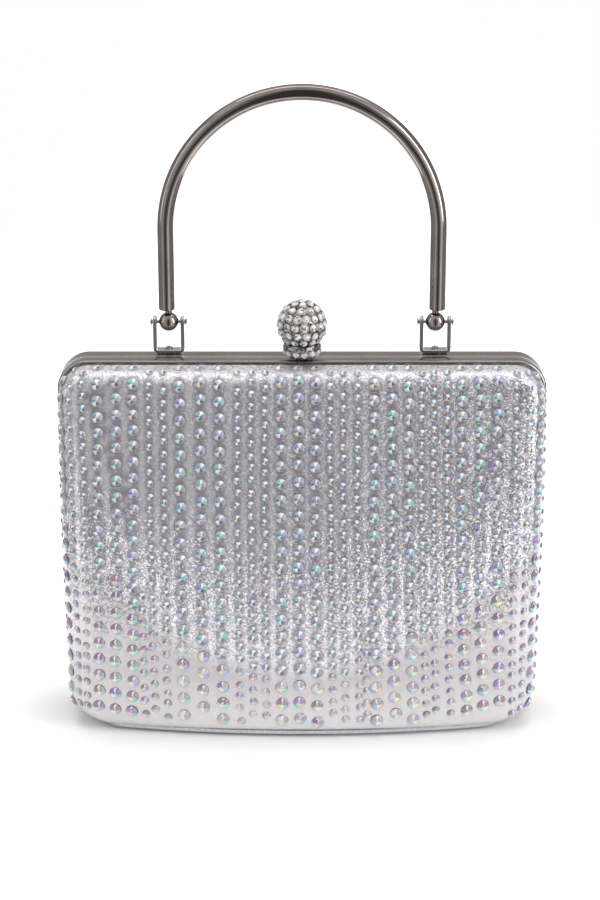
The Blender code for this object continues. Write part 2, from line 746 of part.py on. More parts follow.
def make_handle_tube():
    leg = LINK_HALF_SPACING + LEG_SPREAD
    arch_height = BODY_HEIGHT + HANDLE_RISE - TUBE_RADIUS - leg
    end_height = BODY_HEIGHT + TUBE_END_RISE
    points = [(-leg, end_height)]
    for i in range(ARCH_STEPS + 1):
        turn = math.pi * (1 - i / ARCH_STEPS)
        points.append((leg * math.cos(turn), arch_height + leg * math.sin(turn)))
    points.append((leg, end_height))
    curve = bpy.data.curves.new("handle_tube", "CURVE")
    curve.dimensions = "3D"
    curve.bevel_depth = TUBE_RADIUS
    curve.bevel_resolution = 4
    curve.use_fill_caps = True
    spline = curve.splines.new("POLY")
    spline.points.add(len(points) - 1)
    for point, (x, z) in zip(spline.points, points):
        point.co = (x, 0, z - LINK_HEIGHT, 1)
    bar = bpy.data.objects.new("handle_tube", curve)
    PARTS.objects.link(bar)
    bar.location = (0, STRIP_MIDDLE, LINK_HEIGHT)
    bpy.context.view_layer.update()
    tube = solid_from_curve(bar)
    tube.data.materials.append(make_material("handle_tube", NICKEL["colour"], NICKEL["roughness"], 1.0))
    smooth(tube.data)
    for word, sign in (("left", -1), ("right", 1)):
        x = sign * LINK_HALF_SPACING
        bore = rod_mesh("bore", STUD_RADIUS + FIT_GAP, (x, STRIP_MIDDLE, end_height - CUT_OVERRUN),
                        (x, STRIP_MIDDLE, end_height + STUD_LENGTH + FIT_GAP))
        combine(tube, place_tool(word + "_stud_bore", bore), "DIFFERENCE")


def bored_ball_outline(radius, bore):
    start = math.acos(bore / radius)
    steps = ROUND_STEPS // 2
    arc = []
    for i in range(steps + 1):
        turn = blend(start, -start, i / steps)
        arc.append((radius * math.cos(turn), radius * math.sin(turn)))
    return arc


def pin_outline(half_length):
    upper = [
        (0, half_length + PIN_HEAD_HEIGHT),
        (PIN_HEAD_RADIUS - HEAD_BEVEL, half_length + PIN_HEAD_HEIGHT),
        (PIN_HEAD_RADIUS, half_length + PIN_HEAD_HEIGHT - HEAD_BEVEL),
        (PIN_HEAD_RADIUS, half_length),
        (LINK_PIN_RADIUS, half_length),
    ]
    lower = [(radius, -height) for radius, height in reversed(upper)]
    return upper + lower


def make_link(word, sign):
    x = sign * LINK_HALF_SPACING
    centre = Vector((x, STRIP_MIDDLE, LINK_HEIGHT))
    bore_radius = LINK_PIN_RADIUS + RUN_GAP

    name = word + "_handle_ball"
    ball = place(name, turned_mesh(name, bored_ball_outline(BALL_RADIUS, bore_radius), closed=True), **NICKEL)
    add_screw(ball, ROUND_STEPS)
    ball.location = centre
    ball.rotation_euler = ALONG_X
    stud_start = centre + Vector((0, 0, (bore_radius + BALL_RADIUS) / 2))
    stud_top = centre + Vector((0, 0, TUBE_END_RISE - BALL_RISE + STUD_LENGTH))
    combine(ball, place_tool(name + "_stud", rod_mesh("stud", STUD_RADIUS, stud_start, stud_top)), "UNION")

    name = word + "_handle_pin"
    pin = place(name, turned_mesh(name, pin_outline(STRAP_WIDTH / 2 + FIT_GAP)), **NICKEL)
    add_screw(pin, SMALL_ROUND_STEPS)
    pin.location = centre
    pin.rotation_euler = ALONG_X

    name = word + "_link_strap"
    base_bottom = BODY_HEIGHT + FIT_GAP
    base_top = base_bottom + STRAP_SHEET
    half_depth = STRAP_DEPTH / 2
    base = box_mesh(name, (x - STRAP_WIDTH / 2, STRIP_MIDDLE - half_depth, base_bottom),
                    (x + STRAP_WIDTH / 2, STRIP_MIDDLE + half_depth, base_top))
    strap = place(name, base, **NICKEL)
    for leg_word, leg_sign in (("inner", -1), ("outer", 1)):
        leg_x = x + leg_sign * (STRAP_WIDTH - STRAP_SHEET) / 2
        ear = [(-half_depth, base_bottom - LINK_HEIGHT), (half_depth, base_bottom - LINK_HEIGHT)]
        for i in range(ROUND_STEPS // 2 + 1):
            turn = math.pi * i / (ROUND_STEPS // 2)
            ear.append((half_depth * math.cos(turn), half_depth * math.sin(turn)))
        loops = [ear, circle_points(0, 0, LINK_PIN_RADIUS + FIT_GAP)]
        leg = place_tool(name + "_" + leg_word, outline_curve("leg", loops, STRAP_SHEET))
        leg.location = (leg_x, STRIP_MIDDLE, LINK_HEIGHT)
        leg.rotation_euler = ACROSS_X
        bpy.context.view_layer.update()
        combine(strap, solid_from_curve(leg), "UNION")
    hole = rod_mesh("hole", RIVET_RADIUS + FIT_GAP, (x, STRIP_MIDDLE, base_bottom - CUT_OVERRUN),
                    (x, STRIP_MIDDLE, base_top + CUT_OVERRUN))
    combine(strap, place_tool(name + "_hole", hole), "DIFFERENCE")

    name = word + "_link_rivet"
    head_bottom = base_top + FIT_GAP
    tail_top = FLANGE_UNDER - FIT_GAP
    outline = [
        (0, head_bottom + PIN_HEAD_HEIGHT),
        (PIN_HEAD_RADIUS - HEAD_BEVEL, head_bottom + PIN_HEAD_HEIGHT - HEAD_BEVEL),
        (PIN_HEAD_RADIUS, head_bottom),
        (RIVET_RADIUS, head_bottom),
        (RIVET_RADIUS, tail_top),
        (PIN_HEAD_RADIUS, tail_top),
        (PIN_HEAD_RADIUS, tail_top - HEAD_BEVEL),
        (0, tail_top - PIN_HEAD_HEIGHT),
    ]
    rivet = place(name, turned_mesh(name, [(r, z - BODY_HEIGHT) for r, z in outline]), **STEEL)
    add_screw(rivet, SMALL_ROUND_STEPS)
    rivet.location = (x, STRIP_MIDDLE, BODY_HEIGHT)


# Ball clasp

CLASP_Y = -STRIP_MIDDLE


def make_clasp_lever():
    half_hub = HUB_WIDTH / 2
    arm_bottom = PIVOT_HEIGHT - ARM_THICKNESS / 2
    arm_top = PIVOT_HEIGHT + ARM_THICKNESS / 2
    arm_end = STRIP_MIDDLE + TOOTH_LENGTH
    hub = rod_mesh("clasp_lever", HUB_RADIUS, (-half_hub, CLASP_Y, PIVOT_HEIGHT),
                   (half_hub, CLASP_Y, PIVOT_HEIGHT), ROUND_STEPS)
    lever = place("clasp_lever", hub, **STEEL)
    middle = (PIVOT_PIN_RADIUS + RUN_GAP + HUB_RADIUS) / 2
    stem_top = CLASP_HEIGHT - CLASP_BALL_RADIUS + STEM_IN_BALL
    stem = rod_mesh("stem", STEM_RADIUS, (0, CLASP_Y, PIVOT_HEIGHT + middle), (0, CLASP_Y, stem_top),
                    ROUND_STEPS)
    combine(lever, place_tool("clasp_stem", stem), "UNION")
    half_arm = half_hub - ARM_SETBACK
    arm = box_mesh("arm", (-half_arm, CLASP_Y + middle, arm_bottom), (half_arm, arm_end, arm_top))
    combine(lever, place_tool("clasp_arm", arm), "UNION")
    tooth = box_mesh("tooth", (-half_arm, arm_end - TOOTH_LENGTH, arm_bottom - TOOTH_DROP),
                     (half_arm, arm_end, PIVOT_HEIGHT))
    combine(lever, place_tool("clasp_tooth", tooth), "UNION")
    bore = rod_mesh("bore", PIVOT_PIN_RADIUS + RUN_GAP, (-half_hub - CUT_OVERRUN, CLASP_Y, PIVOT_HEIGHT),
                    (half_hub + CUT_OVERRUN, CLASP_Y, PIVOT_HEIGHT))
    combine(lever, place_tool("clasp_lever_bore", bore), "DIFFERENCE")


def make_clasp_bracket():
    top = FLANGE_UNDER - FIT_GAP
    half_width = BRACKET_WIDTH / 2
    front = CLASP_Y - BRACKET_DEPTH / 2
    rear = CLASP_Y + BRACKET_DEPTH / 2
    base = box_mesh("clasp_bracket", (-half_width, front, top - BRACKET_SHEET), (half_width, rear, top))
    bracket = place("clasp_bracket", base, **STEEL)
    for word, sign in (("left", -1), ("right", 1)):
        inner = sign * (half_width - CHEEK_THICKNESS)
        outer = sign * half_width
        cheek = box_mesh("cheek", (min(inner, outer), front, top - CHEEK_HEIGHT), (max(inner, outer), rear, top))
        combine(bracket, place_tool("clasp_" + word + "_cheek", cheek), "UNION")
    bore = rod_mesh("bore", PIVOT_PIN_RADIUS + FIT_GAP, (-half_width - CUT_OVERRUN, CLASP_Y, PIVOT_HEIGHT),
                    (half_width + CUT_OVERRUN, CLASP_Y, PIVOT_HEIGHT))
    combine(bracket, place_tool("clasp_bracket_bore", bore), "DIFFERENCE")
    combine(bracket, stem_slot_tool("clasp_bracket_slot", top, top - BRACKET_SHEET), "DIFFERENCE")
    pin = rod_mesh("clasp_pin", PIVOT_PIN_RADIUS, (-half_width, CLASP_Y, PIVOT_HEIGHT),
                   (half_width, CLASP_Y, PIVOT_HEIGHT))
    place("clasp_pin", pin, **STEEL)


def make_clasp_spring():
    """A torsion coil round the pivot pin, between the hub and the right cheek."""
    start = HUB_WIDTH / 2 + FIT_GAP + SPRING_WIRE_RADIUS
    end = BRACKET_WIDTH / 2 - CHEEK_THICKNESS - FIT_GAP - SPRING_WIRE_RADIUS
    radius = PIVOT_PIN_RADIUS + FIT_GAP + SPRING_WIRE_RADIUS
    count = SPRING_TURNS * SPRING_STEPS
    curve = bpy.data.curves.new("clasp_spring", "CURVE")
    curve.dimensions = "3D"
    curve.bevel_depth = SPRING_WIRE_RADIUS
    curve.bevel_resolution = 1
    curve.use_fill_caps = True
    spline = curve.splines.new("POLY")
    spline.points.add(count)
    for i, point in enumerate(spline.points):
        turn = math.tau * i / SPRING_STEPS
        point.co = (blend(start, end, i / count), radius * math.cos(turn), radius * math.sin(turn), 1)
    spring = place("clasp_spring", curve, **STEEL)
    spring.location = (0, CLASP_Y, PIVOT_HEIGHT)


def make_clasp_strike():
    """A ring under the rear frame strip whose lower bar stands in front of the hook's tooth."""
    top = FLANGE_UNDER - FIT_GAP
    hole_bottom = PIVOT_HEIGHT - ARM_THICKNESS / 2 - TOOTH_DROP - FIT_GAP
    half_width = STRIKE_WIDTH / 2
    loops = [
        rectangle_points(-half_width, hole_bottom - STRIKE_BAR, half_width, top),
        rectangle_points(-half_width + STRIKE_BAR, hole_bottom, half_width - STRIKE_BAR,
                         top - STRIKE_BAR / 2),
    ]
    strike = place("clasp_strike", outline_curve("clasp_strike", loops, STRIKE_BAR), **STEEL)
    strike.location = (0, STRIP_MIDDLE - STRIKE_BAR / 2 - 2 * FIT_GAP, 0)
    strike.rotation_euler = ACROSS_Y


def make_clasp_ball():
    bore = STEM_RADIUS + FIT_GAP
    bore_top = -CLASP_BALL_RADIUS + STEM_IN_BALL + FIT_GAP
    outline = []
    last = -math.acos(BALL_NECK_RADIUS / CLASP_BALL_RADIUS)
    for i in range(BALL_STEPS + 1):
        turn = blend(math.pi / 2, last, i / BALL_STEPS)
        outline.append((CLASP_BALL_RADIUS * math.cos(turn), CLASP_BALL_RADIUS * math.sin(turn)))
    outline[0] = (0, CLASP_BALL_RADIUS)
    outline += [(bore, outline[-1][1]), (bore, bore_top), (0, bore_top)]
    ball = place("clasp_ball", turned_mesh("clasp_ball", outline), **NICKEL)
    add_screw(ball, ROUND_STEPS + ROUND_STEPS // 2)
    ball.location = (0, CLASP_Y, CLASP_HEIGHT)

    low = BODY_HEIGHT + COLLAR_RISE
    high = low + COLLAR_HEIGHT
    ring = [
        (bore, high),
        (COLLAR_RADIUS - COLLAR_BEVEL, high),
        (COLLAR_RADIUS, high - COLLAR_BEVEL),
        (COLLAR_RADIUS, low + COLLAR_BEVEL),
        (COLLAR_RADIUS - COLLAR_BEVEL, low),
        (bore, low),
    ]
    collar = place("clasp_collar", turned_mesh("clasp_collar", [(r, z - low) for r, z in ring], closed=True),
                   **NICKEL)
    add_screw(collar, ROUND_STEPS)
    collar.location = (0, CLASP_Y, low)


def stone_shell(name, rings, wall, capped):
    """A stone set cup: each outer cell between the rings is raised as one stone."""
    mesh = bpy.data.meshes.new(name)
    shape = bmesh.new()
    outer = [[shape.verts.new(seat + normal * wall) for seat, normal in ring] for ring in rings]
    inner = [[shape.verts.new(seat) for seat, normal in ring] for ring in rings]
    count = len(outer[0])
    stones = []
    for j in range(len(rings) - 1):
        for i in range(count):
            k = (i + 1) % count
            stones.append(shape.faces.new((outer[j][i], outer[j + 1][i], outer[j + 1][k], outer[j][k])))
            shape.faces.new((inner[j][i], inner[j][k], inner[j + 1][k], inner[j + 1][i]))
    for i in range(count):
        k = (i + 1) % count
        shape.faces.new((outer[-1][i], inner[-1][i], inner[-1][k], outer[-1][k]))
        if not capped:
            shape.faces.new((outer[0][i], outer[0][k], inner[0][k], inner[0][i]))
    if capped:
        stones.append(shape.faces.new(outer[0]))
        shape.faces.new(list(reversed(inner[0])))
    bmesh.ops.inset_individual(shape, faces=stones, thickness=STONE_SLOPE, depth=STONE_HEIGHT)
    shape.to_mesh(mesh)
    shape.free()
    return mesh


def make_clasp_stones():
    seat_radius = CLASP_BALL_RADIUS + FIT_GAP
    rise = STONE_PITCH / seat_radius
    centre = Vector((0, CLASP_Y, CLASP_HEIGHT))
    count = round(math.tau * seat_radius * BALL_CELL_SHARE / STONE_PITCH)
    rings = []
    for row in range(BALL_STONE_ROWS + 1):
        tilt = math.pi / 2 - rise * (row + 1 / 2)
        ring = []
        for i in range(count):
            turn = math.tau * i / count
            level = math.cos(tilt)
            normal = Vector((level * math.cos(turn), level * math.sin(turn), math.sin(tilt)))
            ring.append((centre + normal * seat_radius, normal))
        rings.append(ring)
    place("clasp_stones", stone_shell("clasp_stones", rings, STONE_SETTING, True), **CRYSTAL)

    ring_radius = COLLAR_RADIUS + FIT_GAP
    low = BODY_HEIGHT + COLLAR_RISE
    count = round(math.tau * ring_radius / STONE_PITCH)
    rings = []
    for height in (low + COLLAR_HEIGHT, low):
        ring = []
        for i in range(count):
            turn = math.tau * i / count
            normal = Vector((math.cos(turn), math.sin(turn), 0))
            ring.append((Vector((0, CLASP_Y, height)) + normal * ring_radius, normal))
        rings.append(ring)
    place("collar_stones", stone_shell("collar_stones", rings, STONE_SETTING, False), **CRYSTAL)


make_half_skins(FRONT, "front")
make_half_skins(REAR, "rear")
make_slip_pocket()
make_frames()
make_base_pads()
make_hinge("left", -HINGE_SPACING / 2)
make_hinge("right", HINGE_SPACING / 2)
make_handle_tube()
make_link("left", -1)
make_link("right", 1)
make_clasp_lever()
make_clasp_bracket()
make_clasp_spring()
make_clasp_strike()
make_clasp_ball()
make_clasp_stones()
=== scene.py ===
import math
import random

import bmesh
import bpy
import numpy as np
from mathutils import Matrix, Vector
from mathutils.kdtree import KDTree


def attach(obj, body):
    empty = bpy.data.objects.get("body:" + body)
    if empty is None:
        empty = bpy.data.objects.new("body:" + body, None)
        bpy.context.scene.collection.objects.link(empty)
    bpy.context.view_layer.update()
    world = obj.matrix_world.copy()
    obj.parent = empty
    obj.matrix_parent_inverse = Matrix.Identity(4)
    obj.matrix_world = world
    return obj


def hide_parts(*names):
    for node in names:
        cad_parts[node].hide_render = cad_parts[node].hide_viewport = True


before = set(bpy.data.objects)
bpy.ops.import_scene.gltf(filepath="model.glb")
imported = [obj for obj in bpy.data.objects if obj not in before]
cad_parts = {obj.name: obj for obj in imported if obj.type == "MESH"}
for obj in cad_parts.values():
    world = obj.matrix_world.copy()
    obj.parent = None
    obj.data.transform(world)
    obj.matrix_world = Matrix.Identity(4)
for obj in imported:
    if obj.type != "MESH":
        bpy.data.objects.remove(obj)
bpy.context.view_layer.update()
mm = 0.001
front, rear = -1, 1
halves = ((front, "front"), (rear, "rear"))
print("frame loaded:", len(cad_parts), "nodes")


# The body's surface in millimetres, by the same rule as the part's own shells, with a tighter
# edge at the base
body = {
    "height": 140, "frameHalfWidth": 89, "rimSetback": 1.2, "taper": 1.2,
    "rimDepth": 7.5, "shelfTop": 138.6, "shelfDrop": 0.6,
    "shoulder": 6, "faceTopDepth": 18, "bellyDepth": 28.6, "bellyHeight": 30,
    "baseDepth": 26.8, "baseEdge": 0.7, "leastEdge": 0.3, "underside": 2.0,
    "topRadius": 11, "bottomRadius": 11, "cornerTop": 8, "cornerBase": 13,
    "crown": 0.7, "crownRun": 6, "topBow": 0.05, "baseBow": 0.42, "cornerShare": 0.8,
    "profileStep": 0.8, "easing": 4,
}


def mix(a, b, share):
    return a + (b - a) * share


def clamp(value, low=0, high=1):
    return min(max(value, low), high)


def quarterTurn(steps, first=0):   # the share, sine and cosine of even steps through a right angle
    shares = [i / steps for i in range(first, steps + 1)]
    return [(share, math.sin(math.pi / 2 * share), math.cos(math.pi / 2 * share)) for share in shares]


def lengths(points):   # how far along a broken line each of its points is
    return np.concatenate([[0], np.cumsum(np.linalg.norm(np.diff(points, axis=0), axis=1))])


def spaced(points, count):   # this many points at an even spacing along a broken line
    points = np.asarray(points, dtype=float)
    run = lengths(points)
    places = np.linspace(0, run[-1], count)
    return np.stack([np.interp(places, run, points[:, k]) for k in range(points.shape[1])], axis=1)


def faceProfile(inset):   # depth and height down the middle of the face
    b = body
    shoulderDepth = b["faceTopDepth"] - b["shoulder"]
    shoulderHeight = b["shelfTop"] - b["shelfDrop"] - b["shoulder"]
    shoulder = b["shoulder"] - inset
    edge = max(b["baseEdge"] - inset, b["leastEdge"])
    edgeHeight = b["underside"] + inset + edge
    points = [(b["rimDepth"], b["shelfTop"] - inset)]
    for share, s, c in quarterTurn(16):
        points.append((shoulderDepth + shoulder * s, shoulderHeight + shoulder * c))
    for share, s, c in quarterTurn(48, 1):
        points.append((mix(b["faceTopDepth"], b["bellyDepth"], s) - inset,
                       mix(shoulderHeight, b["bellyHeight"], share)))
    for share, s, c in quarterTurn(24, 1):
        points.append((mix(b["bellyDepth"], b["baseDepth"], share ** 2) - inset,
                       mix(b["bellyHeight"], edgeHeight, s)))
    for share, s, c in quarterTurn(8, 1):
        points.append((b["baseDepth"] - inset - edge * (1 - c), edgeHeight - edge * s))
    points = spaced(points, int(round(lengths(points)[-1] / b["profileStep"])) + 1)
    for i in range(b["easing"]):   # takes the corners off
        points[1:-1] = (points[:-2] + 2 * points[1:-1] + points[2:]) / 4
    return points


def rimHalfWidth(height, halfWidth, top, bottom, topRadius, bottomRadius):
    width = halfWidth - body["taper"] * (1 - height / body["height"]) ** 2
    corners = ((height - (top - topRadius), topRadius), (bottom + bottomRadius - height, bottomRadius))
    for rise, radius in corners:
        width -= radius - math.sqrt(radius ** 2 - clamp(rise, 0, radius) ** 2)
    return width


def levelSection(depth, height, inset):   # x and depth at one height, left rim to right rim
    b = body
    rim = rimHalfWidth(height, b["frameHalfWidth"] - b["rimSetback"] - inset, b["shelfTop"] - inset,
                       b["underside"] + inset, b["topRadius"] - inset, b["bottomRadius"] - inset)
    upwards = height / b["height"]
    bow = mix(b["baseBow"], b["topBow"], upwards)
    reach = depth - b["rimDepth"]

    def sideWidth(d):
        return rim + b["crown"] * math.sin(math.pi / 2 * clamp((d - b["rimDepth"]) / b["crownRun"]))

    fullWidth = sideWidth(depth)

    def faceDepth(x):
        return b["rimDepth"] + reach * (1 - bow * (x / fullWidth) ** 2)

    radius = min(mix(b["cornerBase"], b["cornerTop"], upwards) - inset, reach * (1 - bow) * b["cornerShare"])
    edge = fullWidth - radius
    slope = -2 * bow * reach * edge / fullWidth ** 2
    start = (edge, faceDepth(edge))
    tip = (fullWidth, start[1] + slope * radius)
    end = (sideWidth(tip[1] - radius), tip[1] - radius)
    half = []
    for share, s, c in quarterTurn(12):   # the corner
        half.append(tuple(t + (a - t) * (1 - s) + (z - t) * (1 - c) for t, a, z in zip(tip, start, end)))
    for i in range(1, 5):   # the side wall
        d = mix(end[1], b["rimDepth"], i / 4)
        half.append((sideWidth(d), d))
    middle = []
    for i in range(1, 60):
        x = mix(-edge, edge, i / 60)
        middle.append((x, faceDepth(x)))
    return np.array([(-x, d) for x, d in reversed(half)] + middle + half)


def meshObject(name, points, faces=(), edges=(), smooth=True):   # an object from points in millimetres
    mesh = bpy.data.meshes.new(name)
    mesh.from_pydata([tuple(c * mm for c in p) for p in points], edges, faces)
    mesh.update()
    piece = bpy.data.objects.new(name, mesh)
    bpy.context.scene.collection.objects.link(piece)
    if smooth:
        mesh.shade_smooth()
    return piece


def lineObject(name, points):   # a broken line for a node tree to follow
    return meshObject(name, points, edges=[(i, i + 1) for i in range(len(points) - 1)], smooth=False)


def sharpen(piece, angle):   # keeps edges sharp from this many degrees
    piece.data.set_sharp_from_angle(angle=math.radians(angle))


def facingOut(piece, sharpFrom=None):   # merges doubles, turns faces outwards and sharpens edges
    shape = bmesh.new()
    shape.from_mesh(piece.data)
    bmesh.ops.remove_doubles(shape, verts=shape.verts, dist=0.001 * mm)
    bmesh.ops.recalc_face_normals(shape, faces=shape.faces)
    shape.to_mesh(piece.data)
    shape.free()
    if sharpFrom:
        sharpen(piece, sharpFrom)


def ringFaces(rings, count, closed=False):   # quads from each ring of points to the next
    faces = []
    for r in range(rings if closed else rings - 1):
        here, there = r * count, (r + 1) % rings * count
        for i in range(count):
            k = (i + 1) % count
            faces.append((here + i, here + k, there + k, there + i))
    return faces


def skinObject(name, outer, inner, side):   # a closed skin between two sets of rows
    rings = [near + far[::-1] for near, far in zip(outer, inner)]
    count = len(rings[0])
    faces = ringFaces(len(rings), count)
    for start in (0, (len(rings) - 1) * count):
        end = start + count - 1
        faces += [(start + i, start + i + 1, end - i - 1, end - i) for i in range(count // 2 - 1)]
    piece = meshObject(name, [(x, side * d, z) for ring in rings for x, d, z in ring], faces)
    facingOut(piece, 50)
    return piece


def turnedPoints(outline, steps):   # a ring for each radius, height and, where given, turn in steps
    points = []
    for radius, height, *shift in outline:
        for i in range(steps):
            turn = math.tau * (i + sum(shift)) / steps
            points.append((radius * math.cos(turn), radius * math.sin(turn), height))
    return points


def turnedObject(name, outline, place, axis="Z", steps=48):   # a turned piece from its half outline
    points = turnedPoints(outline, steps)
    if axis == "X":
        points = [(z, x, y) for x, y, z in points]
    points = [tuple(c + offset for c, offset in zip(point, place)) for point in points]
    piece = meshObject(name, points, ringFaces(len(outline), steps))
    facingOut(piece, 40)
    return piece


def arcOutline(radius, start, end, steps):   # radius and height along part of a ball
    turns = [mix(start, end, i / steps) for i in range(steps + 1)]
    return [(radius * math.cos(turn), radius * math.sin(turn)) for turn in turns]


def roundTool(radius, low, high, place, axis="Z"):   # a plain cylinder to carve with
    return turnedObject("tool", [(0.001, low), (radius, low), (radius, high), (0.001, high)], place, axis, 24)


def boxTool(low, high):
    corners = [(x, y, z) for x in (low[0], high[0]) for y in (low[1], high[1]) for z in (low[2], high[2])]
    faces = [(0, 1, 3, 2), (4, 6, 7, 5), (0, 4, 5, 1), (2, 3, 7, 6), (0, 2, 6, 4), (1, 5, 7, 3)]
    tool = meshObject("tool", corners, faces, smooth=False)
    facingOut(tool)
    return tool


def carve(piece, tool, operation="DIFFERENCE"):   # boolean with a tool that is then removed
    modifier = piece.modifiers.new("carve", "BOOLEAN")
    modifier.operation = operation
    modifier.solver = "EXACT"
    modifier.object = tool
    bpy.context.view_layer.update()
    mesh = bpy.data.meshes.new_from_object(piece.evaluated_get(bpy.context.evaluated_depsgraph_get()))
    piece.modifiers.clear()
    piece.data = mesh
    bpy.data.objects.remove(tool)


def hexColour(code):   # an sRGB hex value as linear red, green, blue, alpha
    parts = [int(code[i:i + 2], 16) / 255 for i in (1, 3, 5)]
    return tuple(c / 12.92 if c <= 0.04045 else ((c + 0.055) / 1.055) ** 2.4 for c in parts) + (1.0,)


def plug(node, sockets):   # a socket gets a value or a link; a node stands for its first output
    for key, value in sockets.items():
        if isinstance(value, bpy.types.Node):
            value = value.outputs[0]
        if isinstance(value, bpy.types.NodeSocket):
            node.id_data.links.new(value, node.inputs[key])
        else:
            node.inputs[key].default_value = value


def addNode(tree, kind, sockets=None, stops=(), **settings):   # stops are the places and colours of a ramp
    node = tree.nodes.new(kind)
    for key, value in settings.items():
        setattr(node, key, value)
    plug(node, sockets or {})
    for n, (place, code) in enumerate(stops):
        ramp = node.color_ramp.elements
        if n == 0:
            ramp.remove(ramp[1])
        stop = ramp.new(place) if n else ramp[0]
        stop.position = place
        stop.color = hexColour(code)
    return node


def newMaterial(name, colour, roughness, metallic=0.0, **sockets):   # sockets are further ones of the shader
    material = bpy.data.materials.new(name)
    material.use_nodes = True
    shader = material.node_tree.nodes["Principled BSDF"]
    plug(shader, {"Base Color": hexColour(colour), "Roughness": roughness, "Metallic": metallic})
    plug(shader, {key.replace("_", " "): value for key, value in sockets.items()})
    return material, material.node_tree, shader


# The stain colour is painted shade round the stones; the pale colours are a painted reflection of the floor
# near the base, the lower one lighter as painted light
satin = {"colour": "#F0EEF2", "threadDark": "#C2C0C6", "threadLight": "#FCFBFD", "grain": 0.4,
         "roughness": 0.2, "metal": 0.62, "tilt": 0.45, "stoneShadeTone": "#C8C6CC",
         "pale": "#C4C0C2", "reflectionAtBase": "#E5E2E3", "paleTilt": 0.6, "paleTop": 25}


def lameSatin():
    # Lame satin: metal wrapped threads whose ends lie at slightly different slopes, so the cloth
    # glitters where the light changes and looks smooth where it doesn't. Near the base the threads
    # lie flatter, and the cloth there is painted smooth and pale as a painted reflection of the bright
    # floor, lighter still towards the base as painted light. Painted shade darkens the cloth round the
    # stones.
    # Threads are 0.15 mm wide and are drawn 0.4 mm wide, about a pixel.
    material, tree, shader = newMaterial("lameSatin", satin["colour"], satin["roughness"], satin["metal"])
    place = addNode(tree, "ShaderNodeTexCoord").outputs["Object"]
    threads = addNode(tree, "ShaderNodeTexVoronoi", {"Vector": place, "Scale": 1 / (satin["grain"] * mm)})
    value = addNode(tree, "ShaderNodeSeparateColor", {"Color": threads.outputs["Color"]})
    tone = addNode(tree, "ShaderNodeValToRGB", {0: value},
                   [(0.0, satin["threadDark"]), (0.5, satin["colour"]), (1.0, satin["threadLight"])])
    # The share of painted reflection of the floor, 1 near the base
    reflectionShare = addNode(tree, "ShaderNodeAttribute", attribute_name="paleSatin").outputs["Fac"]
    tilt = addNode(tree, "ShaderNodeMapRange", {"Value": reflectionShare, "To Min": satin["tilt"],
                                                "To Max": satin["tilt"] * satin["paleTilt"]})
    slope = addNode(tree, "ShaderNodeVectorMath", {0: threads.outputs["Color"], 1: (0.5, 0.5, 0.5)},
                    operation="SUBTRACT")
    slope = addNode(tree, "ShaderNodeVectorMath", {0: slope, "Scale": tilt}, operation="SCALE")
    surface = addNode(tree, "ShaderNodeNewGeometry")
    tilted = addNode(tree, "ShaderNodeVectorMath", {0: surface.outputs["Normal"], 1: slope}, operation="ADD")
    tilted = addNode(tree, "ShaderNodeVectorMath", {0: tilted}, operation="NORMALIZE")
    # The painted reflection's colour, lighter towards the base as painted light
    height = addNode(tree, "ShaderNodeSeparateXYZ", {"Vector": place}).outputs["Z"]
    height = addNode(tree, "ShaderNodeMath", {0: height, 1: satin["paleTop"] * mm}, operation="DIVIDE")
    plain = addNode(tree, "ShaderNodeValToRGB", {0: height}, [(0.2, satin["reflectionAtBase"]), (1.0, satin["pale"])])
    threadsOrReflection = addNode(tree, "ShaderNodeMix", {0: reflectionShare, 6: tone, 7: plain}, data_type="RGBA")
    # Painted shade on the cloth round the stones
    shadeSpread = addNode(tree, "ShaderNodeAttribute", attribute_name="glueSoak").outputs["Fac"]
    shadeTint = addNode(tree, "ShaderNodeValToRGB", {0: shadeSpread}, [(0.0, "#FFFFFF"), (1.0, satin["stoneShadeTone"])])
    both = addNode(tree, "ShaderNodeMix", {0: 1.0, 6: threadsOrReflection.outputs[2], 7: shadeTint},
                   data_type="RGBA", blend_type="MULTIPLY")
    plug(shader, {"Base Color": both.outputs[2], "Normal": tilted})
    return material


def blackNickel(name, colour, roughness, wear):
    # Black nickel plate over brass, polished: warm grey mirror with fine handling scratches.
    material, tree, shader = newMaterial(name, colour, roughness, 1.0)
    place = addNode(tree, "ShaderNodeTexCoord").outputs["Object"]
    stretch = addNode(tree, "ShaderNodeMapping", {"Vector": place, "Scale": (1, 6, 6)})
    hair = addNode(tree, "ShaderNodeTexNoise", {"Vector": stretch, "Scale": 1 / (1.5 * mm), "Detail": 6.0})
    smear = addNode(tree, "ShaderNodeTexNoise", {"Vector": place, "Scale": 1 / (14 * mm), "Detail": 3.0})
    tone = addNode(tree, "ShaderNodeValToRGB", {0: smear}, [(0.35, colour), (0.7, wear)])
    gloss = addNode(tree, "ShaderNodeMapRange", {"Value": smear, "From Min": 0.35, "From Max": 0.7,
                                                 "To Min": roughness, "To Max": roughness + 0.08})
    bump = addNode(tree, "ShaderNodeBump", {"Height": hair, "Strength": 0.05, "Distance": 0.05 * mm})
    plug(shader, {"Base Color": tone, "Roughness": gloss, "Normal": bump})
    return material


def crystalGlass(name, roughness, coat):
    # Cut crystal on foil: each facet shows one clear colour, read from the painted reflections,
    # highlights and shade of its facet, with a hard glassy gleam over it.
    material, tree, shader = newMaterial(name, "#E8E8EC", roughness, IOR=1.58, Coat_Weight=coat,
                                         Coat_Roughness=0.03)
    facet = addNode(tree, "ShaderNodeAttribute", attribute_name="facetColour")
    plug(shader, {"Base Color": facet.outputs["Color"]})
    return material


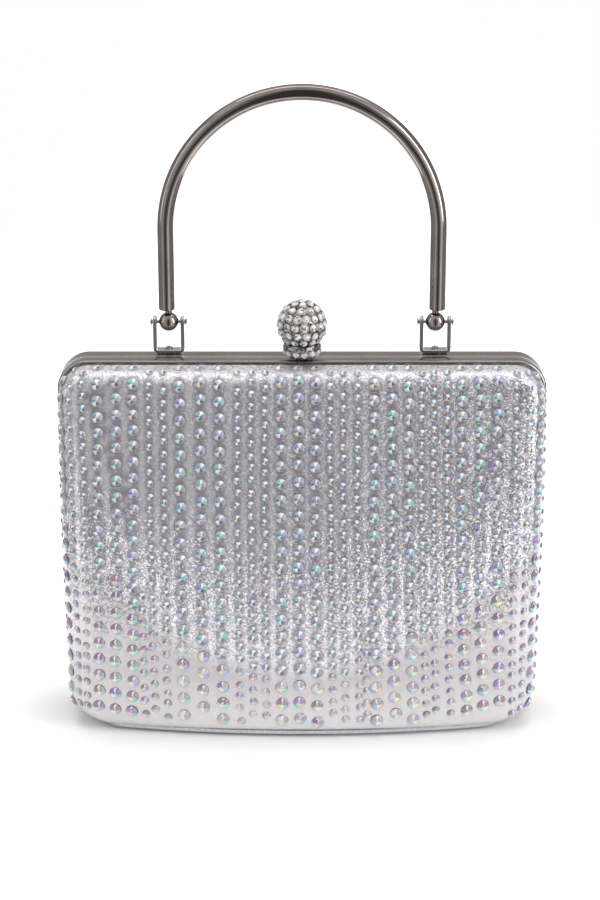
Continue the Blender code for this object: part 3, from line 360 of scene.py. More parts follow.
def polyesterThread():
    # Polyester sewing thread: pale grey with a slight sheen, its twist seen as fine bands.
    material, tree, shader = newMaterial("polyesterThread", "#A9A8AE", 0.5, Sheen_Weight=0.3)
    place = addNode(tree, "ShaderNodeTexCoord").outputs["Object"]
    twist = addNode(tree, "ShaderNodeTexWave", {"Vector": place, "Scale": 1 / (1.5 * mm)},
                    wave_type="BANDS", bands_direction="DIAGONAL").outputs["Fac"]
    tone = addNode(tree, "ShaderNodeValToRGB", {0: twist}, [(0.0, "#8F8E94"), (1.0, "#BDBCC2")])
    plug(shader, {"Base Color": tone})
    return material


def liningCloth(name, tones):
    # Woven polyester lining: fine twill with a dull sheen.
    material, tree, shader = newMaterial(name, tones[0], 0.62, Sheen_Weight=0.35, Sheen_Roughness=0.4)
    place = addNode(tree, "ShaderNodeTexCoord").outputs["Object"]
    turn = addNode(tree, "ShaderNodeMapping", {"Vector": place, "Rotation": (0, math.radians(45), 0)})
    twill = addNode(tree, "ShaderNodeTexWave", {"Vector": turn, "Scale": 1 / (4.0 * mm), "Distortion": 0.6,
                                                "Detail": 1.0}, wave_type="BANDS", bands_direction="X")
    twill = twill.outputs["Fac"]
    cloud = addNode(tree, "ShaderNodeTexNoise", {"Vector": place, "Scale": 1 / (9 * mm), "Detail": 4.0})
    tone = addNode(tree, "ShaderNodeValToRGB", {0: twill}, [(0.0, tones[0]), (1.0, tones[1])])
    soft = addNode(tree, "ShaderNodeValToRGB", {0: cloud}, [(0.3, "#D5D5D8"), (0.7, "#FFFFFF")])
    both = addNode(tree, "ShaderNodeMix", {0: 0.8, 6: tone, 7: soft}, data_type="RGBA", blend_type="MULTIPLY")
    bump = addNode(tree, "ShaderNodeBump", {"Height": twill, "Strength": 0.4, "Distance": 0.1 * mm})
    plug(shader, {"Base Color": both.outputs[2], "Normal": bump})
    return material


def mouldedPlastic():
    # Moulded fibre filled plastic: dull charcoal with a faint moulding texture.
    material, tree, shader = newMaterial("mouldedPlastic", "#37363A", 0.68)
    place = addNode(tree, "ShaderNodeTexCoord").outputs["Object"]
    grain = addNode(tree, "ShaderNodeTexNoise", {"Vector": place, "Scale": 1 / (0.9 * mm), "Detail": 4.0})
    tone = addNode(tree, "ShaderNodeValToRGB", {0: grain}, [(0.3, "#2D2C30"), (0.7, "#424146")])
    bump = addNode(tree, "ShaderNodeBump", {"Height": grain, "Strength": 0.3, "Distance": 0.08 * mm})
    plug(shader, {"Base Color": tone, "Normal": bump})
    return material


def silverLacquer():
    # Silver lacquered plastic strip: pale metallic paint, softly glossy.
    material, tree, shader = newMaterial("silverLacquer", "#C9C8CE", 0.3, 0.55, Coat_Weight=0.4,
                                         Coat_Roughness=0.12)
    place = addNode(tree, "ShaderNodeTexCoord").outputs["Object"]
    flake = addNode(tree, "ShaderNodeTexVoronoi", {"Vector": place, "Scale": 1 / (0.35 * mm)})
    value = addNode(tree, "ShaderNodeSeparateColor", {"Color": flake.outputs["Color"]})
    tone = addNode(tree, "ShaderNodeValToRGB", {0: value}, [(0.0, "#B3B2B8"), (1.0, "#DCDBE0")])
    plug(shader, {"Base Color": tone})
    return material


def platedSteel():
    # Plated steel stampings: grey, satin bright, brushed along their length.
    material, tree, shader = newMaterial("platedSteel", "#A7A6A8", 0.3, 1.0)
    place = addNode(tree, "ShaderNodeTexCoord").outputs["Object"]
    stretch = addNode(tree, "ShaderNodeMapping", {"Vector": place, "Scale": (0.08, 1, 1)})
    hair = addNode(tree, "ShaderNodeTexNoise", {"Vector": stretch, "Scale": 1 / (0.25 * mm), "Detail": 2.0})
    tone = addNode(tree, "ShaderNodeValToRGB", {0: hair}, [(0.3, "#8C8B8D"), (0.7, "#BDBCBE")])
    bump = addNode(tree, "ShaderNodeBump", {"Height": hair, "Strength": 0.12, "Distance": 0.04 * mm})
    plug(shader, {"Base Color": tone, "Normal": bump})
    return material


def castSetting():
    # Cast silver coloured setting: bright metal with small beads, painted lighter on the beads as
    # painted highlight and darker in the hollows between them as painted shade.
    material, tree, shader = newMaterial("castSetting", "#B9B7B6", 0.28, 1.0)
    place = addNode(tree, "ShaderNodeTexCoord").outputs["Object"]
    beads = addNode(tree, "ShaderNodeTexVoronoi", {"Vector": place, "Scale": 1 / (0.9 * mm)})
    # Painted highlight on the beads, painted shade in the hollows between them
    tone = addNode(tree, "ShaderNodeValToRGB", {0: beads},
                   [(0.0, "#DEDCDA"), (0.45, "#A19E9C"), (0.8, "#4A4746")])
    bump = addNode(tree, "ShaderNodeBump", {"Height": beads, "Strength": 0.7, "Distance": 0.25 * mm},
                   invert=True)
    plug(shader, {"Base Color": tone, "Normal": bump})
    return material


satinCloth = lameSatin()
nickel = blackNickel("polishedBlackNickel", "#A09894", 0.07, "#8D8581")
# The links' nickel is much lighter than the tube's: painted light on the straps, pins and rivets
linkNickel = blackNickel("polishedNickel", "#D8D3CF", 0.24, "#C6C1BD")
# The frame's black nickel is lighter than the tube's: painted light on the strips
stripNickel = blackNickel("burnishedBlackNickel", "#A9A19D", 0.2, "#98918D")
steel = platedSteel()
boardPlastic = mouldedPlastic()
lining = liningCloth("wovenLining", ["#4B4A50", "#6C6B72"])
pocketCloth = liningCloth("wovenPocketCloth", ["#55545B", "#77767E"])
stitchThread = polyesterThread()
silverStrip = silverLacquer()
setting = castSetting()
auroraCrystal = crystalGlass("auroraCrystal", 0.12, 0.4)
clearCrystal = crystalGlass("clearCrystal", 0.08, 0.8)
print("materials made")


def dress(piece, material, bodyName, *nodes, slot=None):   # nodes are the CAD pieces that it stands for
    piece.data.materials.clear()
    piece.data.materials.append(material)
    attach(piece, bodyName)
    if nodes:
        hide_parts(*nodes)
    return piece


def grow(piece, tree, inputs):   # runs a node tree on a piece and keeps the plain mesh
    modifier = piece.modifiers.new(tree.name, "NODES")
    modifier.node_group = tree
    sockets = {item.name: item.identifier for item in tree.interface.items_tree
               if item.item_type == "SOCKET" and item.in_out == "INPUT"}
    for word, value in inputs.items():
        modifier[sockets[word]] = value
    bpy.context.view_layer.update()
    graph = bpy.context.evaluated_depsgraph_get()
    mesh = bpy.data.meshes.new_from_object(piece.evaluated_get(graph))
    piece.modifiers.clear()
    name = piece.name
    bpy.data.objects.remove(piece)
    made = bpy.data.objects.new(name, mesh)
    mesh.name = name
    bpy.context.scene.collection.objects.link(made)
    return made


# Satin skins, linings and the pocket
skin = {
    "layers": {   # each with its name, slot, finish, inset, thickness, rows down and points across
        "cover": ("Satin", "satin", satinCloth, 0, 0.5, 240, 170),
        "lining": ("LiningCloth", "lining_cloth", lining, 2.9, 0.7, 150, 110),
    },
    "pocketInset": 3.9, "pocketThickness": 0.5, "pocketTop": 80.8, "pocketBottom": 30.2, "pocketHalf": 78.0,
    "pocketAcross": 90, "hemDepth": 4.0, "hemSwell": 0.35, "hemSteps": 10, "panelSteps": 40,
    "hemSeamDrop": 0.4, "edgeSeamDrop": 3,
    "stitchEdge": 2.2, "stitchPitch": 2.6, "stitchLength": 1.9, "stitchRadius": 0.17,
    "stitchLift": 0.12,             # how far a stitch stands off the cloth
}


def layerRows(inset, down, across):   # evenly spaced rows of x, depth and height on one layer of the body
    rows = []
    for depth, height in spaced(faceProfile(inset), down):
        rows.append([(x, d, height) for x, d in spaced(levelSection(depth, height, inset), across)])
    return rows


for side, word in halves:
    for node, (layer, slot, material, inset, thickness, down, across) in skin["layers"].items():
        outer = layerRows(inset, down, across)
        inner = layerRows(inset + thickness, down, across)
        piece = skinObject(word + layer, outer, inner, side)
        dress(piece, material, word + "_half", word + "_" + node, slot=slot)
print("satin skins and linings made")


def newTree(name, output, inputs):   # a node tree and its named inputs, each with a kind and a value
    tree = bpy.data.node_groups.new(name, "GeometryNodeTree")
    for word, (kind, value) in inputs.items():
        socket = tree.interface.new_socket(word, in_out="INPUT", socket_type="NodeSocket" + kind)
        if value is not None:
            socket.default_value = value
    tree.interface.new_socket(output, in_out="OUTPUT", socket_type="NodeSocketGeometry")
    return tree, addNode(tree, "NodeGroupInput").outputs


def closeTree(tree, geometry, finish):   # what the tree made, as plain geometry in its finish
    real = addNode(tree, "GeometryNodeRealizeInstances", {"Geometry": geometry})
    finished = addNode(tree, "GeometryNodeSetMaterial", {"Geometry": real, "Material": finish})
    addNode(tree, "NodeGroupOutput", {0: finished})
    return tree


# The slip pocket on the rear lining: a cloth panel with a rolled hem along its top
def panelRows(inset, heights, halfWidth, across, swell=None):   # rows of one layer between two upright edges
    profile = faceProfile(inset)
    rows = []
    for height, fat in zip(heights, swell or [0] * len(heights)):
        depth = float(np.interp(height, profile[::-1, 1], profile[::-1, 0]))
        section = levelSection(depth, height, inset)
        places = np.linspace(-halfWidth, halfWidth, across)
        rows.append([(x, float(np.interp(x, section[:, 0], section[:, 1])) - fat, height) for x in places])
    return rows


def stitchTree(name):   # sets a stitch on each point of a line at an even pitch, along the line
    tree, given = newTree(name, "Stitches", {
        "Line": ("Geometry", None), "Stitch pitch": ("Float", 0.0026), "Stitch length": ("Float", 0.0019),
        "Thread radius": ("Float", 0.00017), "Length spread": ("Float", 0.1), "Seed": ("Int", 1),
        "Finish": ("Material", None)})
    line = addNode(tree, "GeometryNodeMeshToCurve", {"Mesh": given["Line"]})
    spots = addNode(tree, "GeometryNodeCurveToPoints", {"Curve": line, "Length": given["Stitch pitch"]},
                    mode="LENGTH")
    stitch = addNode(tree, "GeometryNodeMeshIcoSphere", {"Radius": given["Thread radius"], "Subdivisions": 1})
    half = addNode(tree, "ShaderNodeMath", {0: given["Stitch length"], 1: 0.5}, operation="MULTIPLY")
    long = addNode(tree, "ShaderNodeMath", {0: half, 1: given["Thread radius"]}, operation="DIVIDE")
    least = addNode(tree, "ShaderNodeMath", {0: 1.0, 1: given["Length spread"]}, operation="SUBTRACT")
    share = addNode(tree, "FunctionNodeRandomValue", {2: least, 3: 1.0, "Seed": given["Seed"]})
    long = addNode(tree, "ShaderNodeMath", {0: long, 1: share.outputs[1]}, operation="MULTIPLY")
    size = addNode(tree, "ShaderNodeCombineXYZ", {"X": 1.0, "Y": 1.0, "Z": long})
    turn = addNode(tree, "FunctionNodeAlignRotationToVector", {"Vector": spots.outputs["Tangent"]}, axis="Z")
    placed = addNode(tree, "GeometryNodeInstanceOnPoints", {
        "Points": spots.outputs["Points"], "Instance": stitch, "Rotation": turn, "Scale": size})
    return closeTree(tree, placed, given["Finish"])


hemBase = skin["pocketTop"] - skin["hemDepth"]
panel, hem = skin["panelSteps"], skin["hemSteps"]
heights = [mix(hemBase, skin["pocketTop"], i / hem) for i in range(hem, 0, -1)]
heights += [mix(skin["pocketBottom"], hemBase, i / panel) for i in range(panel, -1, -1)]
swell = [skin["hemSwell"] * math.sqrt(1 - (2 * i / hem - 1) ** 2) for i in range(hem, 0, -1)]
swell += [0.0] * (panel + 1)
inside = skin["pocketInset"] + skin["pocketThickness"]
outer = panelRows(skin["pocketInset"], heights, skin["pocketHalf"], skin["pocketAcross"])
inner = panelRows(inside, heights, skin["pocketHalf"], skin["pocketAcross"], swell)
pocket = skinObject("slipPocketCloth", outer, inner, rear)
dress(pocket, pocketCloth, "rear_half", "slip_pocket", slot="lining_cloth")
edge = skin["pocketHalf"] - skin["stitchEdge"]
low = skin["pocketBottom"] + skin["stitchEdge"]
hemSeam = panelRows(inside + skin["stitchLift"], [hemBase - skin["hemSeamDrop"]], edge, 80)[0]
heights = [mix(hemBase - skin["edgeSeamDrop"], low, i / 30) for i in range(31)]
rows = panelRows(inside + skin["stitchLift"], heights, edge, 60)
edgeSeam = [row[0] for row in rows] + rows[-1][1:-1] + [row[-1] for row in rows[::-1]]
stitches = stitchTree("sewnStitches")
for name, seam in (("pocketHemStitches", hemSeam), ("pocketEdgeStitches", edgeSeam)):
    piece = grow(lineObject(name, [(x, rear * d, z) for x, d, z in seam]), stitches, {
        "Stitch pitch": skin["stitchPitch"] * mm, "Stitch length": skin["stitchLength"] * mm,
        "Thread radius": skin["stitchRadius"] * mm, "Length spread": 0.12, "Seed": 2, "Finish": stitchThread})
    dress(piece, stitchThread, "rear_half", slot="lining_cloth")
print("slip pocket sewn")


# Where a place on the satin is: millimetres down from the rim and across from the middle line
class SatinMap:
    def __init__(self):
        self.profile = faceProfile(0)
        self.down = lengths(self.profile)
        self.sections = []
        for depth, height in self.profile:
            section = levelSection(depth, height, 0)
            run = lengths(section)
            self.sections.append((section, run - run[-1] / 2))

    def row(self, down):   # the first section below this place
        return int(np.clip(np.searchsorted(self.down, down), 1, len(self.down) - 1))

    def reach(self, down):   # how far the satin goes to each side of the middle line
        k = self.row(down)
        return min(self.sections[k][1][-1], self.sections[k - 1][1][-1])

    def spot(self, down, across):   # x, depth and height
        k = self.row(down)
        ends = []
        for n in (k - 1, k):
            section, run = self.sections[n]
            x, depth = [np.interp(across, run, section[:, axis]) for axis in (0, 1)]
            ends.append(np.array([x, depth, self.profile[n][1]]))
        return mix(ends[0], ends[1], (down - self.down[k - 1]) / (self.down[k] - self.down[k - 1]))

    def seatAt(self, down, across, side):   # place, right, up and outward directions
        step = 0.4
        here = self.spot(down, across)
        up = self.spot(max(down - step, 0), across) - self.spot(min(down + step, self.down[-1]), across)
        right = self.spot(down, across + step) - self.spot(down, across - step)
        place, up, right = [Vector((x, side * d, z)) for x, d, z in (here, up, right)]
        up.normalize()
        normal = (right if side == front else -right).cross(up).normalized()
        return {"place": place, "right": up.cross(normal).normalized(), "up": up, "normal": normal,
                "flat": (across, down)}


def cutStone(name, sides, outline):   # a cut stone of unit radius, its top a fan of facets
    points = turnedPoints(outline, sides) + [(0, 0, outline[-1][1])]
    last = (len(outline) - 1) * sides
    faces = ringFaces(len(outline), sides)
    faces += [(last + i, last + (i + 1) % sides, len(points) - 1) for i in range(sides)]
    faces.append(tuple(reversed(range(sides))))
    stone = meshObject(name, [tuple(c / mm for c in p) for p in points], faces, smooth=False)
    facingOut(stone)
    stone.hide_render = True
    return stone


def seatsObject(name, seats):   # one point for each stone, with its turn and size
    piece = meshObject(name, [seat["place"] for seat in seats], smooth=False)
    turns = []
    for seat in seats:
        turns += list(Matrix((seat["right"], seat["up"], seat["normal"])).transposed().to_euler())
    sizes = [seat["size"] * mm for seat in seats]
    piece.data.attributes.new("turn", "FLOAT_VECTOR", "POINT").data.foreach_set("vector", turns)
    piece.data.attributes.new("size", "FLOAT", "POINT").data.foreach_set("value", sizes)
    return piece


def settingTree(name):   # sets one object on every point, a little uneven, as by hand
    tree, given = newTree(name, "Stones", {
        "Seats": ("Geometry", None), "Stone": ("Object", None), "Size spread": ("Float", 0.03),
        "Lean spread": ("Float", 0.05), "Spin spread": ("Float", 0.3), "Seed": ("Int", 1),
        "Finish": ("Material", None)})
    turn = addNode(tree, "GeometryNodeInputNamedAttribute", {"Name": "turn"}, data_type="FLOAT_VECTOR")
    size = addNode(tree, "GeometryNodeInputNamedAttribute", {"Name": "size"}, data_type="FLOAT")
    lean = addNode(tree, "ShaderNodeCombineXYZ", {
        "X": given["Lean spread"], "Y": given["Lean spread"], "Z": given["Spin spread"]})
    lowLean = addNode(tree, "ShaderNodeVectorMath", {0: lean, "Scale": -1.0}, operation="SCALE")
    jitter = addNode(tree, "FunctionNodeRandomValue", {0: lowLean, 1: lean, "Seed": given["Seed"]},
                     data_type="FLOAT_VECTOR")
    seatTurn = addNode(tree, "FunctionNodeEulerToRotation", {0: turn})
    ownTurn = addNode(tree, "FunctionNodeEulerToRotation", {0: jitter})
    bothTurns = addNode(tree, "FunctionNodeRotateRotation", {0: seatTurn, 1: ownTurn}, rotation_space="LOCAL")
    least = addNode(tree, "ShaderNodeMath", {0: 1.0, 1: given["Size spread"]}, operation="SUBTRACT")
    most = addNode(tree, "ShaderNodeMath", {0: 1.0, 1: given["Size spread"]}, operation="ADD")
    share = addNode(tree, "FunctionNodeRandomValue", {2: least, 3: most, "Seed": given["Seed"]})
    scale = addNode(tree, "ShaderNodeMath", {0: size, 1: share.outputs[1]}, operation="MULTIPLY")
    stone = addNode(tree, "GeometryNodeObjectInfo", {"Object": given["Stone"]})
    placed = addNode(tree, "GeometryNodeInstanceOnPoints", {
        "Points": given["Seats"], "Instance": stone.outputs["Geometry"],
        "Rotation": bothTurns, "Scale": scale})
    return closeTree(tree, placed, given["Finish"])


setStones = settingTree("setStones")


def paintFacets(piece, seats, facesPerStone, colourOf):
    # gives each facet its colour, by its angle round the stone, its share of the radius and its height
    mesh = piece.data
    count = len(mesh.polygons)
    centres = np.zeros(count * 3)
    mesh.polygons.foreach_get("center", centres)
    centres = centres.reshape(-1, 3) / mm
    colours = np.ones((count, 4))
    for index, seat in enumerate(seats):
        source = random.Random(seat["seed"])
        picks = colourOf(seat, source)
        for f in range(index * facesPerStone, (index + 1) * facesPerStone):
            offset = Vector(centres[f]) - seat["place"]
            x, y, z = offset.dot(seat["right"]), offset.dot(seat["up"]), offset.dot(seat["normal"])
            out = math.hypot(x, y) / seat["size"]
            angle = math.degrees(math.atan2(y, x)) % 360
            colours[f] = picks(angle, out, z / seat["size"])
    loops = np.zeros(count, dtype=np.int32)
    mesh.polygons.foreach_get("loop_total", loops)
    mesh.attributes.new("facetColour", "FLOAT_COLOR", "CORNER").data.foreach_set(
        "color", np.repeat(colours, loops, axis=0).ravel())


def stonePiece(name, seats, stone, material, seed, spreads, colourOf=None):   # spreads of size, lean and spin
    piece = grow(seatsObject(name, seats), setStones, {
        "Stone": stone, "Size spread": spreads[0], "Lean spread": spreads[1], "Spin spread": spreads[2],
        "Seed": seed, "Finish": material})
    if colourOf:
        paintFacets(piece, seats, len(stone.data.polygons), colourOf)
    return piece


# Rhinestones stand in columns: three large, three small, and so on round the body.
# Each column gives its place across the satin at the shoulder and at the base, how far down
# its first stone on the face is, and the mean spacing of its stones, all in millimetres.
# The last number, where there is one, is the height above which the column has no stones.
# A cut is the radius and height of each ring of the stone's edges, as shares of its radius.
stones = {
    "upperSize": 0.88,              # size on the upper face, as a share of the size at the base
    "large": {"radius": 2.3, "first": 3.4, "spread": 0.072, "sides": 16,
              "cut": [(1.08, -0.05), (1.0, 0.04), (0.96, 0.12), (0.7, 0.38, 0.5), (0.38, 0.5)]},
    "small": {"radius": 1.5, "first": 7.0, "spread": 0.3, "sides": 12,
              "cut": [(1.1, -0.05), (1.0, 0.05), (0.95, 0.14), (0.68, 0.46, 0.5), (0.36, 0.6)]},
    "bendFrom": 12,                 # how far down a column starts towards its place at the base
    "bend": 2.2,                    # how late it turns there
    "widening": 0.14,               # how much wider the spacing is at the base than at the shoulder
    "lastGap": 4.2,                 # from the lowest stone to the underside
    "unevenness": 0.14,
    "edgeShare": 0.9,               # how much of a stone's radius stays clear of the satin's edge
    "placeSeed": {front: 11, rear: 23},
    "settingSeed": {front: 3, rear: 7},
    "spreads": (0.03, 0.06, 0.25),  # of size, lean and spin
    "columns": [
        ("small", -94.6, -97.0, 12, 4.7), ("large", -88.8, -90.8, 12, 6.3),
        ("small", -83.8, -84.6, 14, 4.9), ("small", -79.0, -80.8, 11.5, 4.8),
        ("large", -73.7, -76.2, 12, 6.2), ("large", -67.0, -70.2, 11, 6.3),
        ("large", -60.8, -63.8, 11.5, 6.0),
        ("small", -58.6, -58.4, 91, 5.0, 66), ("small", -55.0, -54.7, 12, 4.75),
        ("small", -49.8, -49.8, 14, 4.8),
        ("large", -43.9, -43.9, 12.5, 6.6), ("large", -36.7, -36.4, 11, 6.5),
        ("large", -29.8, -29.2, 12, 6.35),
        ("small", -23.3, -22.7, 14.5, 4.8), ("small", -18.3, -18.0, 11, 4.65),
        ("small", -13.5, -13.2, 13, 4.6),
        ("large", -7.7, -7.4, 11, 6.4), ("large", -1.3, -0.9, 10.5, 6.4), ("large", 4.8, 5.9, 11, 6.45),
        ("small", 10.1, 11.7, 12, 4.6), ("small", 14.8, 16.3, 11.5, 4.75), ("small", 19.9, 21.6, 12.5, 4.7),
        ("small", 23.2, 24.4, 98, 4.7, 45),
        ("large", 25.9, 27.9, 11.5, 6.4), ("large", 32.3, 34.8, 11, 6.3), ("large", 38.4, 41.8, 12.5, 6.35),
        ("small", 43.0, 46.6, 11, 4.7), ("small", 47.4, 50.0, 9.5, 4.7), ("small", 52.1, 55.8, 12, 4.5),
        ("large", 57.3, 62.0, 12, 5.95), ("large", 63.9, 68.2, 11.5, 6.2), ("large", 70.4, 74.4, 10.5, 6.5),
        ("small", 77.0, 79.0, 12, 4.9), ("small", 82.0, 82.8, 13, 4.8), ("large", 87.2, 87.6, 10, 6.4),
        ("small", 93.6, 94.6, 12, 4.7),
    ],
}

satinMap = SatinMap()


def columnPlaces(column, side):   # how far down its column each stone stands
    kind, first, pitch = column[0], column[3], column[4]
    lowest = np.interp(body["underside"] + stones["lastGap"], satinMap.profile[::-1, 1], satinMap.down[::-1])
    places = [first]
    while places[-1] < lowest:
        share = places[-1] / lowest
        places.append(places[-1] + pitch * (1 + stones["widening"] * (share - 0.5)))
    places.pop()
    if len(column) == 5 and side == front:
        places.insert(0, stones[kind]["first"])   # the stone on the shoulder
    return places


def stoneSeats(side):
    bendTo = satinMap.down[-1] - stones["lastGap"]
    seats = {"large": [], "small": []}
    source = random.Random(stones["placeSeed"][side])
    for column in stones["columns"]:
        kind, shoulderPlace, basePlace = column[:3]
        highest = column[5] if len(column) > 5 else body["height"]
        radius = stones[kind]["radius"]
        for down in columnPlaces(column, side):
            down += source.gauss(0, stones[kind]["spread"])
            share = clamp((down - stones["bendFrom"]) / (bendTo - stones["bendFrom"])) ** stones["bend"]
            across = mix(shoulderPlace, basePlace, share) + source.gauss(0, stones["unevenness"])
            height = float(np.interp(down, satinMap.down, satinMap.profile[:, 1]))
            if height > highest or abs(across) > satinMap.reach(down) - radius * stones["edgeShare"]:
                continue
            seat = satinMap.seatAt(down, across, side)
            seat.update(size=radius * mix(stones["upperSize"], 1, share), seed=source.random())
            seats[kind].append(seat)
    return seats


# The satin is painted pale and smooth below a line that rises towards the sides, as a painted reflection of
# the bright floor
reflectionLine = {"height": 26, "rise": 40, "riseAt": 78, "fade": 10}


def paleReflectionZone(height, sideways):   # 1 near the base, 0 on the face
    line = reflectionLine["height"] + reflectionLine["rise"] * (sideways / reflectionLine["riseAt"]) ** 2
    return clamp((line + reflectionLine["fade"] / 2 - height) / reflectionLine["fade"])


# Painted shade darkens the cloth round each stone, and more so between the stones of one column
stoneSurround = {"shadeSpread": 0.55, "run": 0.6, "reach": 0.8, "paleShare": 0.12, "rimGap": 1.5, "flatHalf": 60}


def paintStoneShade(piece, seats):   # writes where the satin gets painted shade round the stones and where it shows the painted reflection of the floor
    trees = []
    for kind, own in seats.items():
        tree = KDTree(len(own))
        for n, seat in enumerate(own):
            tree.insert((seat["flat"][0], seat["flat"][1] * stoneSurround["run"], 0), n)
        tree.balance()
        trees.append((tree, stones[kind]["radius"]))
    count = len(piece.data.vertices)
    places, shadeAmounts, pale = np.zeros(count * 3), np.zeros(count), np.zeros(count)
    piece.data.vertices.foreach_get("co", places)
    heights = satinMap.profile[:, 1]
    for n, (x, y, z) in enumerate(places.reshape(-1, 3) / mm):
        pale[n] = paleReflectionZone(z, x)
        if z > heights[0] - stoneSurround["rimGap"]:
            continue
        row = int(np.clip(np.searchsorted(-heights, -z), 1, len(heights) - 1))
        line, run = satinMap.sections[row]
        if abs(x) < stoneSurround["flatHalf"]:
            arc = float(np.interp(x, line[:, 0], run))
        else:
            arc = float(run[int(np.argmin((line[:, 0] - x) ** 2 + (line[:, 1] - abs(y)) ** 2))])
        deepest = 0
        for tree, radius in trees:
            gap = tree.find((arc, float(satinMap.down[row]) * stoneSurround["run"], 0))[2] - radius * stoneSurround["reach"]
            deepest = max(deepest, math.exp(-(max(gap, 0) / stoneSurround["shadeSpread"]) ** 2))
        shadeAmounts[n] = deepest * mix(1, stoneSurround["paleShare"], pale[n])
    for name, values in (("glueSoak", shadeAmounts), ("paleSatin", pale)):
        piece.data.attributes.new(name, "FLOAT", "POINT").data.foreach_set("value", values)


# Where the facets of a stone lie, as shares of its radius: the ring round it, its rim, and the
# height under which a facet is still rim
facet = {"stoneSurround": 1.02, "rim": 0.94, "low": 0.1}

# What the coated stones show, painted into each facet's colour: the coating splits light, so the
# facets of one stone differ, and their colours are painted reflections. On the face a stone has a
# painted white highlight above, a pale facet below on the left, a blue or green one at the left and
# a dark one of painted shade below on the right. Near the base it shows violet above, with yellow and
# turquoise below. Each list is drawn from at random, stone by stone. The rim colours are painted
# shade at the stone's edge, the ring colours painted shade round it, and the body colours a painted
# see-through of the satin behind.
aurora = {
    "gleam": ["#FFFFFF", "#FFFFFF", "#F8F7FF", "#EFFBFA"],
    "near": ["#A5A4AB", "#8FA6CC", "#9A8CCC", "#7FBDBE", "#C5C4CA", "#8CC9C4"],
    "side": ["#3F98A4", "#4E8CC4", "#7466BC", "#4BA38C", "#66646C", "#5FA3B6", "#8178B4"],
    "pale": ["#D3F5E9", "#F5EBC8", "#D6CDF2", "#C6E4F3", "#FFFFFF", "#C9EFE2", "#F4DCD0", "#FFFFFF"],
    "dark": ["#57555A", "#646162", "#716F74", "#8A7269", "#605E64", "#867B8E", "#58565C"],
    "right": ["#94939A", "#9C9BBE", "#89888D", "#B2B1B8", "#86C0BA", "#A9A2CC"],
    "spark": ["#F3C9A8", "#9BE6D2", "#B7A6EE", "#F3EA9E", "#8FD0F0", "#FFFFFF", "#FFFFFF"],
    "lowPale": ["#C6BFC6", "#D3CAD0", "#ACA3B2", "#BBAFB8", "#E0D9DC"],
    "lowViolet": ["#7A5B9E", "#8C6FB8", "#A982C4", "#86688A", "#8F7A80", "#84808A", "#A56F96"],
    "lowGrey": ["#A19C9F", "#B3ACAC", "#9A86A3", "#A59FA5"],
    "lowYellow": ["#F4ECA8", "#F8E2BC", "#F5F2C4", "#F6C9B2", "#EFEAE2"],
    "lowBlue": ["#96DEDC", "#97CDF0", "#ACE8D0", "#A4BEEE"],
    "rim": "#95949A", "lowRim": "#5F5B60", "stoneSurround": "#9D9CA2", "lowStoneSurround": "#C3BFC4",
    "body": "#B6B5BC", "lowBody": "#C3BEC3",
}
# Where a stone shows which of them. Each sector is the angle in degrees that it ends at, and its
# list; beside the middle line a stone leans to its own side, and near the sides it is violet. A spark
# is a painted glint near the middle of the stone.
coating = {
    "heightSpread": 2.5, "middle": 20, "outer": 45, "violetShare": 0.35, "violetRight": 0.4,
    "leanSpread": 8, "leanLeft": -4, "leanRight": 2, "smallBelow": 2,
    "sparkAt": (130, 170, 290, 320, 20), "sparkHalf": 24, "table": 0.34, "crown": 0.72,
    "fade": 0.1, "smallFade": 0.3, "gleamFade": 0.2, "crownFade": 0.5,
    "largeSectors": [(58, "right"), (98, "gleam"), (150, "near"), (196, "side"), (262, "pale"), (332, "dark"),
                     (360, "right")],
}


def auroraFacets(seat, source):
    c = coating
    height, sideways = seat["place"].z, seat["place"].x * (1 if seat["normal"].y < 0 else -1)
    low = paleReflectionZone(height + source.gauss(0, c["heightSpread"]), sideways) > 0.5
    leftward = sideways < 0 if abs(sideways) > c["middle"] else source.random() < 0.5
    small = seat["size"] < c["smallBelow"]
    pick = {word: hexColour(source.choice(codes))
            for word, codes in aurora.items() if isinstance(codes, list)}
    violet = abs(sideways) > c["outer"] or source.random() < c["violetShare"]
    above = "lowViolet" if violet else "lowPale"
    upperRight = above if source.random() < c["violetRight"] else "lowGrey"
    rim, surroundShade, clear = [hexColour(aurora[words[low]]) for words in (
        ("rim", "lowRim"), ("stoneSurround", "lowStoneSurround"), ("body", "lowBody"))]
    lean = source.uniform(-c["leanSpread"], c["leanSpread"]) + c["leanLeft" if leftward else "leanRight"]
    sparkAt = source.choice(c["sparkAt"])
    if low:
        belowLeft, belowRight = ("lowYellow", "lowBlue") if leftward else ("lowBlue", "lowYellow")
        sectors = [(12, "lowGrey"), (80, upperRight), (102, "gleam"), (190, above), (262, belowLeft),
                   (274, "gleam"), (350, belowRight), (360, "lowGrey")]
    elif small:
        left = "near" if source.random() < 0.5 else "side"
        sectors = [(45, "dark"), (118, "gleam"), (196, left), (285, "pale"), (360, "dark")]
    else:
        sectors = c["largeSectors"]

    def colour(angle, out, rise):
        # The ring round the stone and its rim: painted shade
        if out > facet["stoneSurround"]:
            return surroundShade
        if out > facet["rim"] or rise < facet["low"]:
            return rim
        angle = (angle - lean) % 360
        word = next(word for end, word in sectors if angle <= end)
        tone = pick[word]
        # A painted glint near the middle of the stone
        fromSpark = abs((angle - sparkAt + 180) % 360 - 180)
        if out < c["table"] and word != "gleam" and fromSpark < c["sparkHalf"]:
            tone = pick["spark"]
        # Each facet fades towards the body colour, a painted see-through of the satin
        fade = c["fade"]
        if out > c["crown"]:
            fade = c["gleamFade" if word == "gleam" or low else "crownFade"]
        elif low and small:
            fade = c["smallFade"]
        return tuple(mix(tone[k], clear[k], fade) for k in range(4))

    return colour


